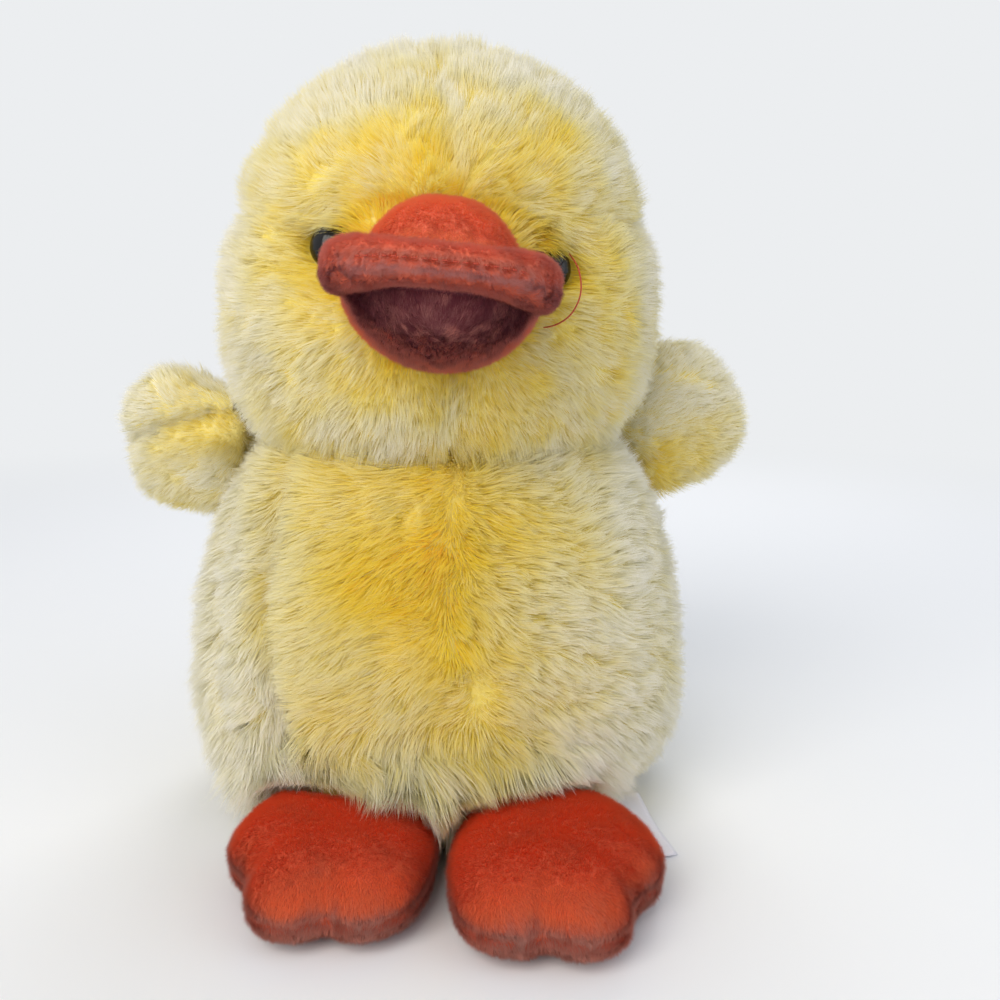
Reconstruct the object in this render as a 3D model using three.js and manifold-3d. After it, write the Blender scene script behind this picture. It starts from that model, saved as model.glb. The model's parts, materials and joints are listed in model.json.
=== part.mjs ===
// A sitting plush duck, cut and sewn from pile fabric and stuffed with fibre.
// Millimetres, +Z up. The duck looks along -Y and its own left side is +X.
// The origin is the middle of the flat seat that it rests on.
import * as THREE from "three";
import { mergeVertices } from "three/addons/utils/BufferGeometryUtils.js";
import Module from "manifold-3d";

const wasm = await Module();
wasm.setup();

// What every seam and cut shares
const sewing = {
  gap: 0.3, // between two pieces that are sewn or packed together
  overrun: 8, // how far a cutter runs past what it cuts
  pinch: 2.6, // how deep a seam draws the stuffed surface in
  pinchReach: 8, // how far to each side of a seam it is drawn in
};

// Fabric thickness with its pile standing, and of the bare backing
const pile = { longDepth: 9, wingDepth: 6, shortDepth: 2.2, backingDepth: 1.4 };

// The trunk: widest low down, tapering to a round neck
const body = {
  height: 112,
  widest: 44,
  halfWidth: 77,
  frontDepth: 59,
  backDepth: 60,
  pastNeck: 4, // how far the form would run on over the neck seam
  pastFloor: 6, // how far it would run on under the floor
  sideSeam: -20, // where belly and back panels meet, along Y
  baseSeam: 6, // height of the seam round the base panel
  topFullness: 3.7,
  bottomFullness: 3.1,
  squareness: 2.25,
  leanShare: 0,
  domed: false,
  taperShare: 0.14,
  columnSteps: 22,
  ringSteps: 13,
};
body.reachUp = body.height - body.widest + body.pastNeck;
body.reachDown = body.widest + body.pastFloor;

// The head, in its own frame with the neck seam at zero
const head = {
  widest: 38,
  halfWidth: 65.5,
  frontDepth: 57,
  backDepth: 59,
  reachUp: 75,
  pastNeck: 8, // how far the form would run on under the neck seam
  eyeSeam: 61, // height of the seam between crown and cheeks
  topFullness: 2.1,
  bottomFullness: 2.9,
  squareness: 2.15,
  leanShare: 0.026, // sideways for each unit of height, as the sewn head leans
  domed: true,
  taperShare: 0,
  columnSteps: 22,
  ringSteps: 13,
};
head.reachDown = head.widest + head.pastNeck;

// The face sits a little askew on the head, as it was sewn
const face = { height: 44, shift: -1.5, roll: 5.5, turn: -4 };

const billTop = {
  halfWidth: 29,
  reach: 36, // from the face out to the front of the lip
  rootHalfWidth: 21,
  rootDepth: 13, // how far the bill runs back through the pile
  domeHeight: 21,
  lipHeight: 5.6, // half the thickness of the puffed lip
  upturn: 3.5, // how far the lip's front rises over its corners
  rootShare: 0.98, // of the root's width, where it ends inside the head
  // The lip from its corner to its middle: share of the half width, share of the reach
  lipShares: [
    [1, 0.36],
    [0.9, 0.7],
    [0.52, 0.95],
  ],
  // Across the top from the middle to the lip's seam: share of the reach, share of the dome, share of the lip
  topShares: [
    [0, 1, 0],
    [0.26, 0.93, 0],
    [0.44, 0.76, 0],
    [0.58, 0.5, 0.05],
    [0.66, 0.16, 0.5],
    [0.76, 0, 0.9],
    [0.88, 0, 1],
    [0.97, 0, 0.62],
  ],
  underShares: [
    [0.98, 0, -0.62],
    [0.9, 0, -1],
    [0.7, 0, -0.9],
    [0.35, 0, -0.8],
    [0, 0, -0.75],
  ],
  columns: 26,
  seamSteps: 9,
};

const billUnder = { halfWidth: 26, reach: 29, drop: 23, columns: 20, rings: 10 };

const eye = {
  radius: 5.5,
  domeHeight: 4.2,
  rimHeight: 1,
  shankRadius: 1.7,
  shankLength: 13,
  spread: 28.5, // each side of the middle of the face
  rise: 6, // above the middle of the face
  washerRadius: 6.6,
  washerThickness: 1,
  columns: 14,
  domeSteps: 5,
};

const wing = {
  length: 47,
  width: 53,
  thickness: 25,
  columns: 20,
  outlineShares: [
    [0, 0],
    [0.03, 0.3],
    [0.26, 0.44],
    [0.6, 0.5],
    [0.88, 0.36],
    [1, 0],
    [0.88, -0.36],
    [0.6, -0.5],
    [0.26, -0.44],
    [0.03, -0.3],
  ],
  crownShares: [0, 0.42, 0.75, 0.93],
  edgePower: 2.4,
  rootAngle: 100, // round the trunk from the front, in degrees
  rootDrop: 9, // below the neck seam
  axis: new THREE.Vector3(0, 1, 0),
  range: { low: -25, high: 25, step: 10 }, // degrees
};
// How each wing hangs, in degrees
const wingPose = {
  left: { raise: 32, sweep: 6, twist: 6 },
  right: { raise: 12, sweep: 22, twist: 20 },
};

const foot = {
  length: 68,
  width: 57,
  seamHeight: 8, // of the seam round the edge, over the floor
  topHeight: 14, // of the instep over that seam
  columns: 34,
  // Heel, outer side, then the toes with a dip between each, and the inner side
  outlineShares: [
    [0, 0],
    [0.24, -0.02],
    [0.42, -0.2],
    [0.5, -0.42],
    [0.485, -0.58],
    [0.4, -0.68],
    [0.33, -0.79],
    [0.3, -0.9],
    [0.2, -0.985],
    [0.07, -1],
    [-0.06, -0.955],
    [-0.16, -0.99],
    [-0.31, -0.96],
    [-0.43, -0.84],
    [-0.485, -0.6],
    [-0.47, -0.35],
    [-0.38, -0.12],
    [-0.24, -0.02],
  ],
  crownShares: [0, 0.5, 0.8, 0.95],
  edgePower: 3.6,
  spread: 28, // of each heel from the middle
  axis: new THREE.Vector3(1, 0, 0),
  range: { low: -35, high: 0, step: 7 }, // degrees, up from the surface it rests on
};
// How far each heel is tucked into its seam, and how far its toes turn outwards
const footPose = { left: { tuck: 0, splay: -7 }, right: { tuck: 13, splay: 8 } };

const tail = {
  length: 44,
  width: 40,
  thickness: 22,
  height: 30,
  rise: 32, // degrees
  columns: 20,
  outlineShares: [
    [0, 0],
    [0, 0.4],
    [0.3, 0.5],
    [0.7, 0.34],
    [1, 0],
    [0.7, -0.34],
    [0.3, -0.5],
    [0, -0.4],
  ],
  crownShares: [0, 0.4, 0.7, 0.9],
  edgePower: 2.2,
  inside: 18, // how far the root lies inside the trunk before it is trimmed
};

const label = {
  width: 11,
  length: 30,
  thickness: 0.7,
  lean: 80, // degrees out from hanging
  turn: -41,
  angle: 50, // round the trunk from the front, in degrees
  axis: new THREE.Vector3(1, 0, 0),
  range: { low: -25, high: 0, step: 5 }, // degrees, up from the surface it rests on
};

// A loose end of sewing thread that bows from the corner of the mouth up to the left eye
const thread = {
  diameter: 0.4,
  sides: 8,
  steps: 32,
  route: [
    [24.6, -54.2, 144.3],
    [25.7, -55.4, 144.5],
    [27.0, -56.5, 144.9],
    [28.4, -57.5, 145.6],
    [29.8, -58.3, 146.6],
    [31.0, -58.8, 147.9],
    [32.0, -59.1, 149.5],
    [32.8, -59.1, 151.3],
    [33.3, -58.7, 153.2],
    [33.5, -57.9, 155.1],
    [33.5, -56.7, 156.9],
    [33.4, -55.1, 158.6],
    [33.2, -53.2, 160.0],
    [32.9, -51.1, 161.2],
    [32.6, -48.9, 162.2],
    [32.3, -46.9, 163.1],
  ],
};

const furYellow = new THREE.MeshStandardMaterial({ color: 0xe9d672, roughness: 0.95, metalness: 0 });
const baseYellow = new THREE.MeshStandardMaterial({ color: 0xdcc560, roughness: 0.95, metalness: 0 });
const billOrange = new THREE.MeshStandardMaterial({ color: 0xd2583a, roughness: 0.9, metalness: 0 });
const footOrange = new THREE.MeshStandardMaterial({ color: 0xc2421f, roughness: 0.9, metalness: 0 });
const eyeBlack = new THREE.MeshStandardMaterial({ color: 0x0c0c10, roughness: 0.12, metalness: 0 });
const washerWhite = new THREE.MeshStandardMaterial({ color: 0xe6e6e2, roughness: 0.5, metalness: 0 });
const fibreWhite = new THREE.MeshStandardMaterial({ color: 0xf2f1ec, roughness: 1, metalness: 0 });
const labelWhite = new THREE.MeshStandardMaterial({ color: 0xe4e0ea, roughness: 0.6, metalness: 0 });
const threadOrange = new THREE.MeshStandardMaterial({ color: 0xc6401a, roughness: 0.8, metalness: 0 });

const radians = THREE.MathUtils.degToRad;
const weldReach = 1e-4; // corners closer than this are one

function power(value, exponent) {
  return Math.sign(value) * Math.abs(value) ** exponent;
}

// A three.js geometry as a solid for joining and cutting
function solidOf(geometry) {
  const bare = geometry.clone();
  bare.deleteAttribute("normal");
  bare.deleteAttribute("uv");
  const merged = mergeVertices(bare, weldReach);
  return new wasm.Manifold(
    new wasm.Mesh({
      numProp: 3,
      vertProperties: new Float32Array(merged.attributes.position.array),
      triVerts: new Uint32Array(merged.index.array),
    }),
  );
}

function geometryOf(solid) {
  const mesh = solid.getMesh();
  const geometry = new THREE.BufferGeometry();
  geometry.setAttribute("position", new THREE.BufferAttribute(new Float32Array(mesh.vertProperties), 3));
  geometry.setIndex(new THREE.BufferAttribute(new Uint32Array(mesh.triVerts), 1));
  geometry.computeVertexNormals();
  return geometry;
}

function piece(name, solid, material) {
  const mesh = new THREE.Mesh(geometryOf(solid), material);
  mesh.name = name;
  return mesh;
}

// Rings of points, each going round anticlockwise seen from above, closed from a first to a last middle point
function ringSolid(first, rings, last) {
  const count = rings[0].length;
  const points = [first, ...rings.flat(), last];
  const at = (ring, column) => 1 + ring * count + (column % count);
  const faces = [];
  for (let column = 0; column < count; column++) {
    faces.push(0, at(0, column + 1), at(0, column));
    for (let ring = 0; ring + 1 < rings.length; ring++) {
      faces.push(at(ring, column), at(ring, column + 1), at(ring + 1, column + 1));
      faces.push(at(ring, column), at(ring + 1, column + 1), at(ring + 1, column));
    }
    faces.push(points.length - 1, at(rings.length - 1, column), at(rings.length - 1, column + 1));
  }
  const geometry = new THREE.BufferGeometry().setFromPoints(points);
  geometry.setIndex(faces);
  return solidOf(geometry);
}

// Even steps from low to high, with a station on each seam and one to each side of it
function stations(low, high, steps, seams, reach) {
  const kept = seams.flatMap((seam) => [seam - reach, seam, seam + reach]);
  const inside = kept.filter((value) => value > low && value < high);
  const even = Array.from({ length: steps + 1 }, (_, i) => low + ((high - low) * i) / steps);
  const clear = (value) => kept.every((seam) => Math.abs(seam - value) > reach / 2);
  const free = even.filter((value, i) => i === 0 || i === steps || clear(value));
  return [...free, ...inside].sort((a, b) => a - b);
}

// Only a domed end closes over the filling: the others are cut off level
function reachOf(form, up, inset) {
  if (!up) return form.reachDown;
  return form.domed ? form.reachUp - inset : form.reachUp;
}

// A point of a stuffed form. The angle runs from the front towards +X, the rise from the widest ring up
function formPoint(form, angle, rise, inset) {
  const up = rise >= 0;
  const curve = 2 / (up ? form.topFullness : form.bottomFullness);
  const height = reachOf(form, up, inset) * power(Math.sin(rise), curve);
  const taper = 1 - form.taperShare * Math.max(0, height / form.reachUp);
  const spread = taper * power(Math.cos(rise), curve);
  const corner = 2 / form.squareness;
  const depth = Math.cos(angle) > 0 ? form.frontDepth : form.backDepth;
  const lean = form.leanShare * (form.widest + height);
  return new THREE.Vector3(
    lean + (form.halfWidth - inset) * spread * power(Math.sin(angle), corner),
    -(depth - inset) * spread * power(Math.cos(angle), corner),
    form.widest + height,
  );
}

function riseAt(form, height, inset) {
  const up = height >= form.widest;
  const reach = reachOf(form, up, inset);
  const share = Math.min(1, Math.abs(height - form.widest) / reach);
  const fullness = up ? form.topFullness : form.bottomFullness;
  return Math.sign(height - form.widest) * Math.asin(share ** (fullness / 2));
}

// A box between two corners
function block(low, high) {
  const size = new THREE.Vector3().subVectors(high, low);
  const middle = new THREE.Vector3().addVectors(low, high).multiplyScalar(0.5);
  return solidOf(new THREE.BoxGeometry(size.x, size.y, size.z).translate(middle.x, middle.y, middle.z));
}

// The form between two heights, drawn in along its upright and level seams
function formSolid(form, inset, floor, ceiling, seamAngles, seamHeights) {
  const reach = sewing.pinchReach / form.halfWidth;
  const seamRises = seamHeights.map((height) => riseAt(form, height, inset));
  const rises = stations(-Math.PI / 2, Math.PI / 2, form.ringSteps, seamRises, reach).slice(1, -1);
  const angles = stations(-Math.PI, Math.PI, form.columnSteps, seamAngles, reach).slice(1);
  const onSeam = (list, value) => list.some((seam) => Math.abs(seam - value) < reach / 10);
  const rings = rises.map((rise) =>
    angles.map((angle) => {
      const drawn = onSeam(seamAngles, angle) || onSeam(seamRises, rise) ? sewing.pinch : 0;
      const point = formPoint(form, angle, rise, inset + drawn);
      point.z = formPoint(form, angle, rise, inset).z;
      return point;
    }),
  );
  const bottom = formPoint(form, 0, -Math.PI / 2, inset);
  const top = formPoint(form, 0, Math.PI / 2, inset);
  const wide = 2 * form.halfWidth;
  const kept = block(new THREE.Vector3(-wide, -wide, floor), new THREE.Vector3(wide, wide, ceiling));
  return ringSolid(bottom, rings, top).intersect(kept);
}

// A flat stuffed piece: an outline seen from above, its middle, and the heights on the way to the edge
function pillowSolid(outline, middle, topSteps, underSteps, inset) {
  const ringOf = ([share, height]) =>
    outline.map((edge) => {
      const arm = new THREE.Vector2().subVectors(edge, middle);
      arm.setLength(Math.max(arm.length() - inset, 0) * share);
      return new THREE.Vector3(middle.x + arm.x, middle.y + arm.y, height(edge, share));
    });
  const edgeRing = ringOf([1, () => 0]);
  const rings = [
    ...underSteps.filter(([share]) => share > 0).map(ringOf),
    edgeRing,
    ...topSteps.filter(([share]) => share > 0).map(ringOf),
  ];
  const poleHeight = (steps) => steps.find(([share]) => share === 0)[1](middle, 0);
  const first = new THREE.Vector3(middle.x, middle.y, poleHeight(underSteps));
  const last = new THREE.Vector3(middle.x, middle.y, poleHeight(topSteps));
  return ringSolid(first, rings, last);
}

// A closed smooth outline through points given as shares of a length and a width
function smoothOutline(shares, along, across, columns) {
  const points = shares.map(([x, y]) => new THREE.Vector3(x * along, y * across, 0));
  const curve = new THREE.CatmullRomCurve3(points, true, "catmullrom", 0.5);
  const found = Array.from({ length: columns }, (_, i) => curve.getPoint(i / columns));
  const flat = found.map((point) => new THREE.Vector2(point.x, point.y));
  return THREE.ShapeUtils.area(flat) > 0 ? flat : flat.reverse();
}

// Puffed height over the seam: full in the middle, rounding down to the edge
function puff(height, edgePower) {
  return (edge, share) => height * Math.sqrt(Math.max(0, 1 - share ** edgePower));
}

const duck = new THREE.Group();

// Trunk
const bodySeams = (() => {
  const sideShare = -body.sideSeam / body.frontDepth;
  const side = Math.acos(sideShare ** (body.squareness / 2));
  return [0, side, -side, Math.PI];
})();
const bodyForm = (inset, floor, ceiling) => formSolid(body, inset, floor, ceiling, bodySeams, []);
const bodyOuter = bodyForm(0, 0, body.height - sewing.gap / 2);
const bodyGrown = bodyForm(-sewing.gap, -sewing.overrun, body.height);
const bodyHollow = bodyForm(pile.longDepth, body.baseSeam - sewing.gap / 2, body.height + sewing.overrun);
const bodyShell = bodyOuter.subtract(bodyHollow);

const far = body.halfWidth + body.height;
function bodyPart(xLow, xHigh, yLow, yHigh, zLow, zHigh) {
  const low = new THREE.Vector3(xLow, yLow, zLow);
  const high = new THREE.Vector3(xHigh, yHigh, zHigh);
  return bodyShell.intersect(block(low, high));
}
const half = sewing.gap / 2;
const overBase = body.baseSeam + half;
const front = body.sideSeam - half;
const rear = body.sideSeam + half;
duck.add(piece("belly_left", bodyPart(half, far, -far, front, overBase, far), furYellow));
duck.add(piece("belly_right", bodyPart(-far, -half, -far, front, overBase, far), furYellow));
duck.add(piece("back_left", bodyPart(half, far, rear, far, overBase, far), furYellow));
duck.add(piece("back_right", bodyPart(-far, -half, rear, far, overBase, far), furYellow));
duck.add(piece("base_panel", bodyPart(-far, far, -far, far, -far, body.baseSeam - half), baseYellow));
const bodyFill = bodyForm(pile.longDepth + sewing.gap, overBase, body.height - half);
duck.add(piece("body_stuffing", bodyFill, fibreWhite));

// Head, standing on the neck seam
const headGroup = new THREE.Group();
headGroup.position.z = body.height;
duck.add(headGroup);
const headSeams = [0, Math.PI];
const headForm = (inset, floor) =>
  formSolid(head, inset, floor, head.widest + head.reachUp + sewing.overrun, headSeams, [head.eyeSeam]);
const headOuter = headForm(0, half);
const headHollow = headForm(pile.longDepth, -sewing.overrun);
let headShell = headOuter.subtract(headHollow);
let headFill = headForm(pile.longDepth + sewing.gap, half);

// Puts a solid made in the face's own frame, facing -Y with its middle at zero, onto the head
const faceFrame = new THREE.Matrix4()
  .makeRotationFromEuler(new THREE.Euler(0, radians(face.roll), radians(face.turn), "ZYX"))
  .setPosition(face.shift, -head.frontDepth, face.height);
function onFace(solid, matrix = new THREE.Matrix4()) {
  return solid.transform(new THREE.Matrix4().multiplyMatrices(faceFrame, matrix).toArray());
}

// Upper bill: a dome over a puffed lip
function billOutline() {
  const { halfWidth, reach, rootHalfWidth, rootDepth, rootShare, lipShares, columns } = billTop;
  const points = [
    [0, rootDepth],
    [rootShare * rootHalfWidth, rootDepth],
    [rootHalfWidth, 0],
    ...lipShares.map(([across, out]) => [across * halfWidth, -out * reach]),
    [0, -reach],
  ];
  const mirrored = points.slice(1, -1).reverse().map(([x, y]) => [-x, y]);
  return smoothOutline([...points, ...mirrored], 1, 1, columns);
}
function billTopForm(inset) {
  const { domeHeight, lipHeight, reach, upturn } = billTop;
  const sag = (edge, share) => upturn * Math.max(0, (-edge.y * share) / reach) ** 2;
  const step = ([share, dome, lip]) => [
    share,
    (edge, r) =>
      dome * (domeHeight - inset) + lip * (lipHeight - inset) + (share > 0 ? sag(edge, r) : 0),
  ];
  const middle = new THREE.Vector2(0, 0);
  const arms = billOutline();
  const topSteps = billTop.topShares.map(step).reverse();
  const underSteps = billTop.underShares.map(step).reverse();
  const ringOf = (share, height) =>
    arms.map((edge) => {
      const arm = edge.clone().setLength(edge.length() - inset).multiplyScalar(share);
      return new THREE.Vector3(arm.x, arm.y, height(edge, share));
    });
  const rings = [
    ...underSteps.filter(([share]) => share > 0).map(([share, height]) => ringOf(share, height)),
    ringOf(1, (edge) => sag(edge, 1)),
    ...topSteps.filter(([share]) => share > 0).map(([share, height]) => ringOf(share, height)),
  ];
  const under = new THREE.Vector3(middle.x, middle.y, underSteps[0][1](middle, 0));
  const top = new THREE.Vector3(middle.x, middle.y, topSteps.at(-1)[1](middle, 0));
  return ringSolid(under, rings, top);
}

// Lower bill: a round pouch under the lip
function billUnderForm(inset) {
  const { halfWidth, reach, drop, columns, rings } = billUnder;
  const pouch = new THREE.SphereGeometry(1, columns, rings);
  pouch.rotateX(Math.PI / 2);
  pouch.scale(halfWidth - inset, reach - inset, drop - inset);
  return solidOf(pouch);
}

const headCore = headForm(pile.longDepth - sewing.gap, -sewing.overrun);
const billTopSkin = onFace(billTopForm(0)).subtract(headCore);
const billTopHollow = onFace(billTopForm(pile.shortDepth));
headShell = headShell.subtract(onFace(billTopForm(-sewing.gap))).subtract(onFace(billUnderForm(-sewing.gap)));

// The lip's seam parts the upper bill into a top and an underside panel, along a sheet that follows the lip
function lipSheet(low, high) {
  const { reach, upturn, seamSteps } = billTop;
  const wide = billTop.halfWidth + sewing.overrun;
  const back = billTop.rootDepth + sewing.overrun;
  const ahead = reach + sewing.overrun;
  const points = [];
  for (let step = 0; step <= seamSteps; step++) {
    const y = back - ((back + ahead) * step) / seamSteps;
    points.push(new THREE.Vector2(y, upturn * Math.max(0, -y / reach) ** 2));
  }
  const profile = new THREE.Shape([
    ...points.map((p) => new THREE.Vector2(p.x, p.y + low)),
    ...points.reverse().map((p) => new THREE.Vector2(p.x, p.y + high)),
  ]);
  const sheet = new THREE.ExtrudeGeometry(profile, { depth: 2 * wide, bevelEnabled: false });
  sheet.rotateY(Math.PI / 2).rotateX(Math.PI / 2).translate(-wide, 0, 0);
  return onFace(solidOf(sheet));
}
const billRise = billTop.domeHeight + billTop.upturn + sewing.overrun;
const billShell = billTopSkin.subtract(billTopHollow);
const billUnderPart = (inset) =>
  onFace(billUnderForm(inset))
    .subtract(lipSheet(0, billRise))
    .subtract(onFace(billTopForm(-sewing.gap - inset)));
const billUnderSkin = billUnderPart(0).subtract(headCore);
headGroup.add(piece("bill_upper_top", billShell.intersect(lipSheet(half, billRise)), billOrange));
headGroup.add(piece("bill_upper_underside", billShell.intersect(lipSheet(-billRise, -half)), billOrange));
const billTopFill = onFace(billTopForm(pile.shortDepth + sewing.gap)).subtract(headCore);
headGroup.add(piece("bill_upper_stuffing", billTopFill, fibreWhite));
headGroup.add(piece("bill_lower", billUnderSkin.subtract(billUnderPart(pile.shortDepth)), billOrange));
const billUnderFill = billUnderPart(pile.shortDepth + sewing.gap).subtract(headCore);
headGroup.add(piece("bill_lower_stuffing", billUnderFill, fibreWhite));

// Eyes: a domed button with its shank, held behind the fabric by a washer
function lathed(points, columns) {
  const profile = points.map(([x, y]) => new THREE.Vector2(x, y));
  return new THREE.LatheGeometry(profile, columns);
}
function eyeButton(grow) {
  const { radius, domeHeight, rimHeight, shankRadius, shankLength, columns, domeSteps } = eye;
  const dome = Array.from({ length: domeSteps + 1 }, (_, i) => {
    const turn = (Math.PI / 2) * (i / domeSteps);
    return [(radius + grow) * Math.cos(turn), rimHeight + (domeHeight + grow) * Math.sin(turn)];
  });
  dome.at(-1)[0] = 0;
  return lathed(
    [
      [0, -shankLength - grow],
      [shankRadius + grow, -shankLength - grow],
      [shankRadius + grow, -grow],
      [radius + grow, -grow],
      ...dome,
    ],
    columns,
  );
}
function washerRing(grow, boreGrow) {
  const { shankRadius, washerRadius, washerThickness, columns } = eye;
  const bore = shankRadius + boreGrow;
  const low = -pile.backingDepth - sewing.gap - washerThickness;
  return lathed(
    [
      [bore, low - grow],
      [washerRadius + grow, low - grow],
      [washerRadius + grow, low + washerThickness + grow],
      [bore, low + washerThickness + grow],
      [bore, low - grow],
    ],
    columns,
  );
}
// The pile over the eye is pressed aside, so the socket is open to the front
function eyeSocket() {
  const { radius, shankRadius, shankLength, columns } = eye;
  const wide = radius + sewing.gap;
  return lathed(
    [
      [0, -shankLength - sewing.overrun],
      [shankRadius + sewing.gap, -shankLength - sewing.overrun],
      [shankRadius + sewing.gap, -sewing.gap],
      [wide, -sewing.gap],
      [wide, pile.longDepth + sewing.overrun],
      [0, pile.longDepth + sewing.overrun],
    ],
    columns,
  );
}
// Where the backing lies under an eye, and which way it faces there
function eyeFrame(side) {
  const spot = new THREE.Vector3(side * eye.spread, 0, eye.rise);
  const height = spot.clone().applyMatrix4(faceFrame).z;
  const across = spot.clone().applyMatrix4(faceFrame).x;
  const inset = pile.longDepth - pile.backingDepth;
  const rise = riseAt(head, height, inset);
  let angle = 0;
  const step = sewing.gap / head.halfWidth;
  while (formPoint(head, angle, rise, inset).x * side < across * side) angle += step * side;
  const seat = formPoint(head, angle, rise, inset);
  const along = formPoint(head, angle + step, rise, inset).sub(seat);
  const up = formPoint(head, angle, rise + step, inset).sub(seat);
  const facing = along.cross(up).normalize();
  const turn = new THREE.Quaternion().setFromUnitVectors(new THREE.Vector3(0, 1, 0), facing);
  return new THREE.Matrix4().makeRotationFromQuaternion(turn).setPosition(seat);
}
for (const [name, side] of [
  ["left", 1],
  ["right", -1],
]) {
  const frame = eyeFrame(side).toArray();
  const socket = solidOf(eyeSocket()).transform(frame);
  const pocket = solidOf(eyeButton(sewing.gap)).transform(frame);
  const washerPocket = solidOf(washerRing(sewing.gap, 0)).transform(frame);
  headShell = headShell.subtract(socket);
  headFill = headFill.subtract(pocket).subtract(washerPocket);
  headGroup.add(piece(`eye_${name}`, solidOf(eyeButton(0)).transform(frame), eyeBlack));
  const washer = solidOf(washerRing(0, sewing.gap)).transform(frame);
  headGroup.add(piece(`eye_washer_${name}`, washer, washerWhite));
  headShell = headShell.subtract(washerPocket);
}
headGroup.add(piece("head_stuffing", headFill, fibreWhite));

function headPart(xLow, xHigh, zLow, zHigh) {
  const low = new THREE.Vector3(xLow, -far, zLow);
  const high = new THREE.Vector3(xHigh, far, zHigh);
  return headShell.intersect(block(low, high));
}
const overEyes = head.eyeSeam + half;
const underEyes = head.eyeSeam - half;
headGroup.add(piece("crown_left", headPart(half, far, overEyes, far), furYellow));
headGroup.add(piece("crown_right", headPart(-far, -half, overEyes, far), furYellow));
headGroup.add(piece("cheek_left", headPart(half, far, -far, underEyes), furYellow));
headGroup.add(piece("cheek_right", headPart(-far, -half, -far, underEyes), furYellow));

// A solid with what it meets cut away, at every angle that it turns to about its seam
function cleared(solid, obstacles, axis, range) {
  const steps = Math.ceil((range.high - range.low) / range.step);
  for (let i = 0; i <= steps; i++) {
    const angle = range.low + ((range.high - range.low) * i) / steps;
    const back = new THREE.Matrix4().makeRotationAxis(axis, -radians(angle)).toArray();
    for (const obstacle of obstacles) solid = solid.subtract(obstacle.transform(back));
  }
  return solid;
}

// Adds a flat stuffed limb: two panels sewn round the edge and the fibre between them
function addLimb(group, limb, names, heights, cover, material, trim = (solid) => solid) {
  const outline = limb.outline;
  const steps = (height, inset) =>
    limb.crownShares.map((share) => [share, puff(Math.max(height - inset, 0), limb.edgePower)]);
  const form = (inset) =>
    pillowSolid(
      outline,
      limb.middle,
      steps(heights.top, inset).reverse(),
      steps(heights.under, inset).map(([share, height]) => [share, (e, s) => -height(e, s)]),
      inset,
    );
  const shell = trim(form(0)).subtract(form(cover));
  const wide = limb.length + limb.width;
  const over = block(new THREE.Vector3(-wide, -wide, half), new THREE.Vector3(wide, wide, wide));
  const under = block(new THREE.Vector3(-wide, -wide, -wide), new THREE.Vector3(wide, wide, -half));
  group.add(piece(names.top, shell.intersect(over), material));
  group.add(piece(names.under, shell.intersect(under), material));
  group.add(piece(names.fill, trim(form(cover + sewing.gap)), fibreWhite));
}

const headGrown = headForm(-sewing.gap, half).translate(0, 0, body.height);
// What a limb meets, in the limb's own frame
function inFrameOf(group, solids) {
  group.updateMatrix();
  const back = group.matrix.clone().invert().toArray();
  return solids.map((solid) => solid.transform(back));
}

// Wings: flat paddles hinged on the seam at their root
function wingFrame(side, pose) {
  const angle = radians(wing.rootAngle);
  const rise = riseAt(body, body.height - wing.rootDrop, 0);
  const seat = formPoint(body, angle, rise, -sewing.gap - half);
  const group = new THREE.Group();
  group.position.set(side * seat.x, seat.y, seat.z);
  group.rotation.order = "ZYX";
  const facing = side > 0 ? 0 : Math.PI;
  const upright = Math.PI / 2 + side * radians(pose.twist);
  group.rotation.set(upright, -radians(pose.raise), facing + side * radians(pose.sweep));
  return group;
}
for (const [name, side] of [
  ["left", 1],
  ["right", -1],
]) {
  const group = wingFrame(side, wingPose[name]);
  const limb = {
    ...wing,
    outline: smoothOutline(wing.outlineShares, wing.length, wing.width, wing.columns),
    middle: new THREE.Vector2(wing.length / 2, 0),
  };
  const faces = side > 0 ? ["front", "rear"] : ["rear", "front"];
  const names = {
    top: `wing_${name}_${faces[0]}`,
    under: `wing_${name}_${faces[1]}`,
    fill: `wing_${name}_stuffing`,
  };
  const heights = { top: wing.thickness / 2, under: wing.thickness / 2 };
  const met = inFrameOf(group, [bodyGrown, headGrown]);
  const trim = (solid) => cleared(solid, met, wing.axis, wing.range);
  addLimb(group, limb, names, heights, pile.wingDepth, furYellow, trim);
  duck.add(group);
}

// Feet: webbed, three-toed pads lying flat in front
for (const [name, side] of [
  ["left", 1],
  ["right", -1],
]) {
  const group = new THREE.Group();
  const rise = riseAt(body, foot.seamHeight, 0);
  let angle = 0;
  const step = sewing.gap / body.halfWidth;
  while (formPoint(body, angle, rise, 0).x < foot.spread) angle += step;
  const seat = formPoint(body, angle, rise, -sewing.gap - half);
  group.position.set(side * seat.x, seat.y, foot.seamHeight);
  const { tuck, splay } = footPose[name];
  group.rotation.z = side * radians(splay);
  const shares = side > 0 ? foot.outlineShares : foot.outlineShares.map(([x, y]) => [-x, y]);
  const outline = smoothOutline(shares, foot.width, foot.length, foot.columns);
  const limb = {
    ...foot,
    outline: outline.map((edge) => new THREE.Vector2(edge.x, edge.y + tuck)),
    middle: new THREE.Vector2(0, tuck - foot.length / 2),
  };
  const names = { top: `foot_${name}_top`, under: `foot_${name}_sole`, fill: `foot_${name}_stuffing` };
  const met = inFrameOf(group, [bodyGrown]);
  const trim = (solid) => cleared(solid, met, foot.axis, foot.range);
  const heights = { top: foot.topHeight, under: foot.seamHeight };
  addLimb(group, limb, names, heights, pile.shortDepth, footOrange, trim);
  duck.add(group);
}

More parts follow.
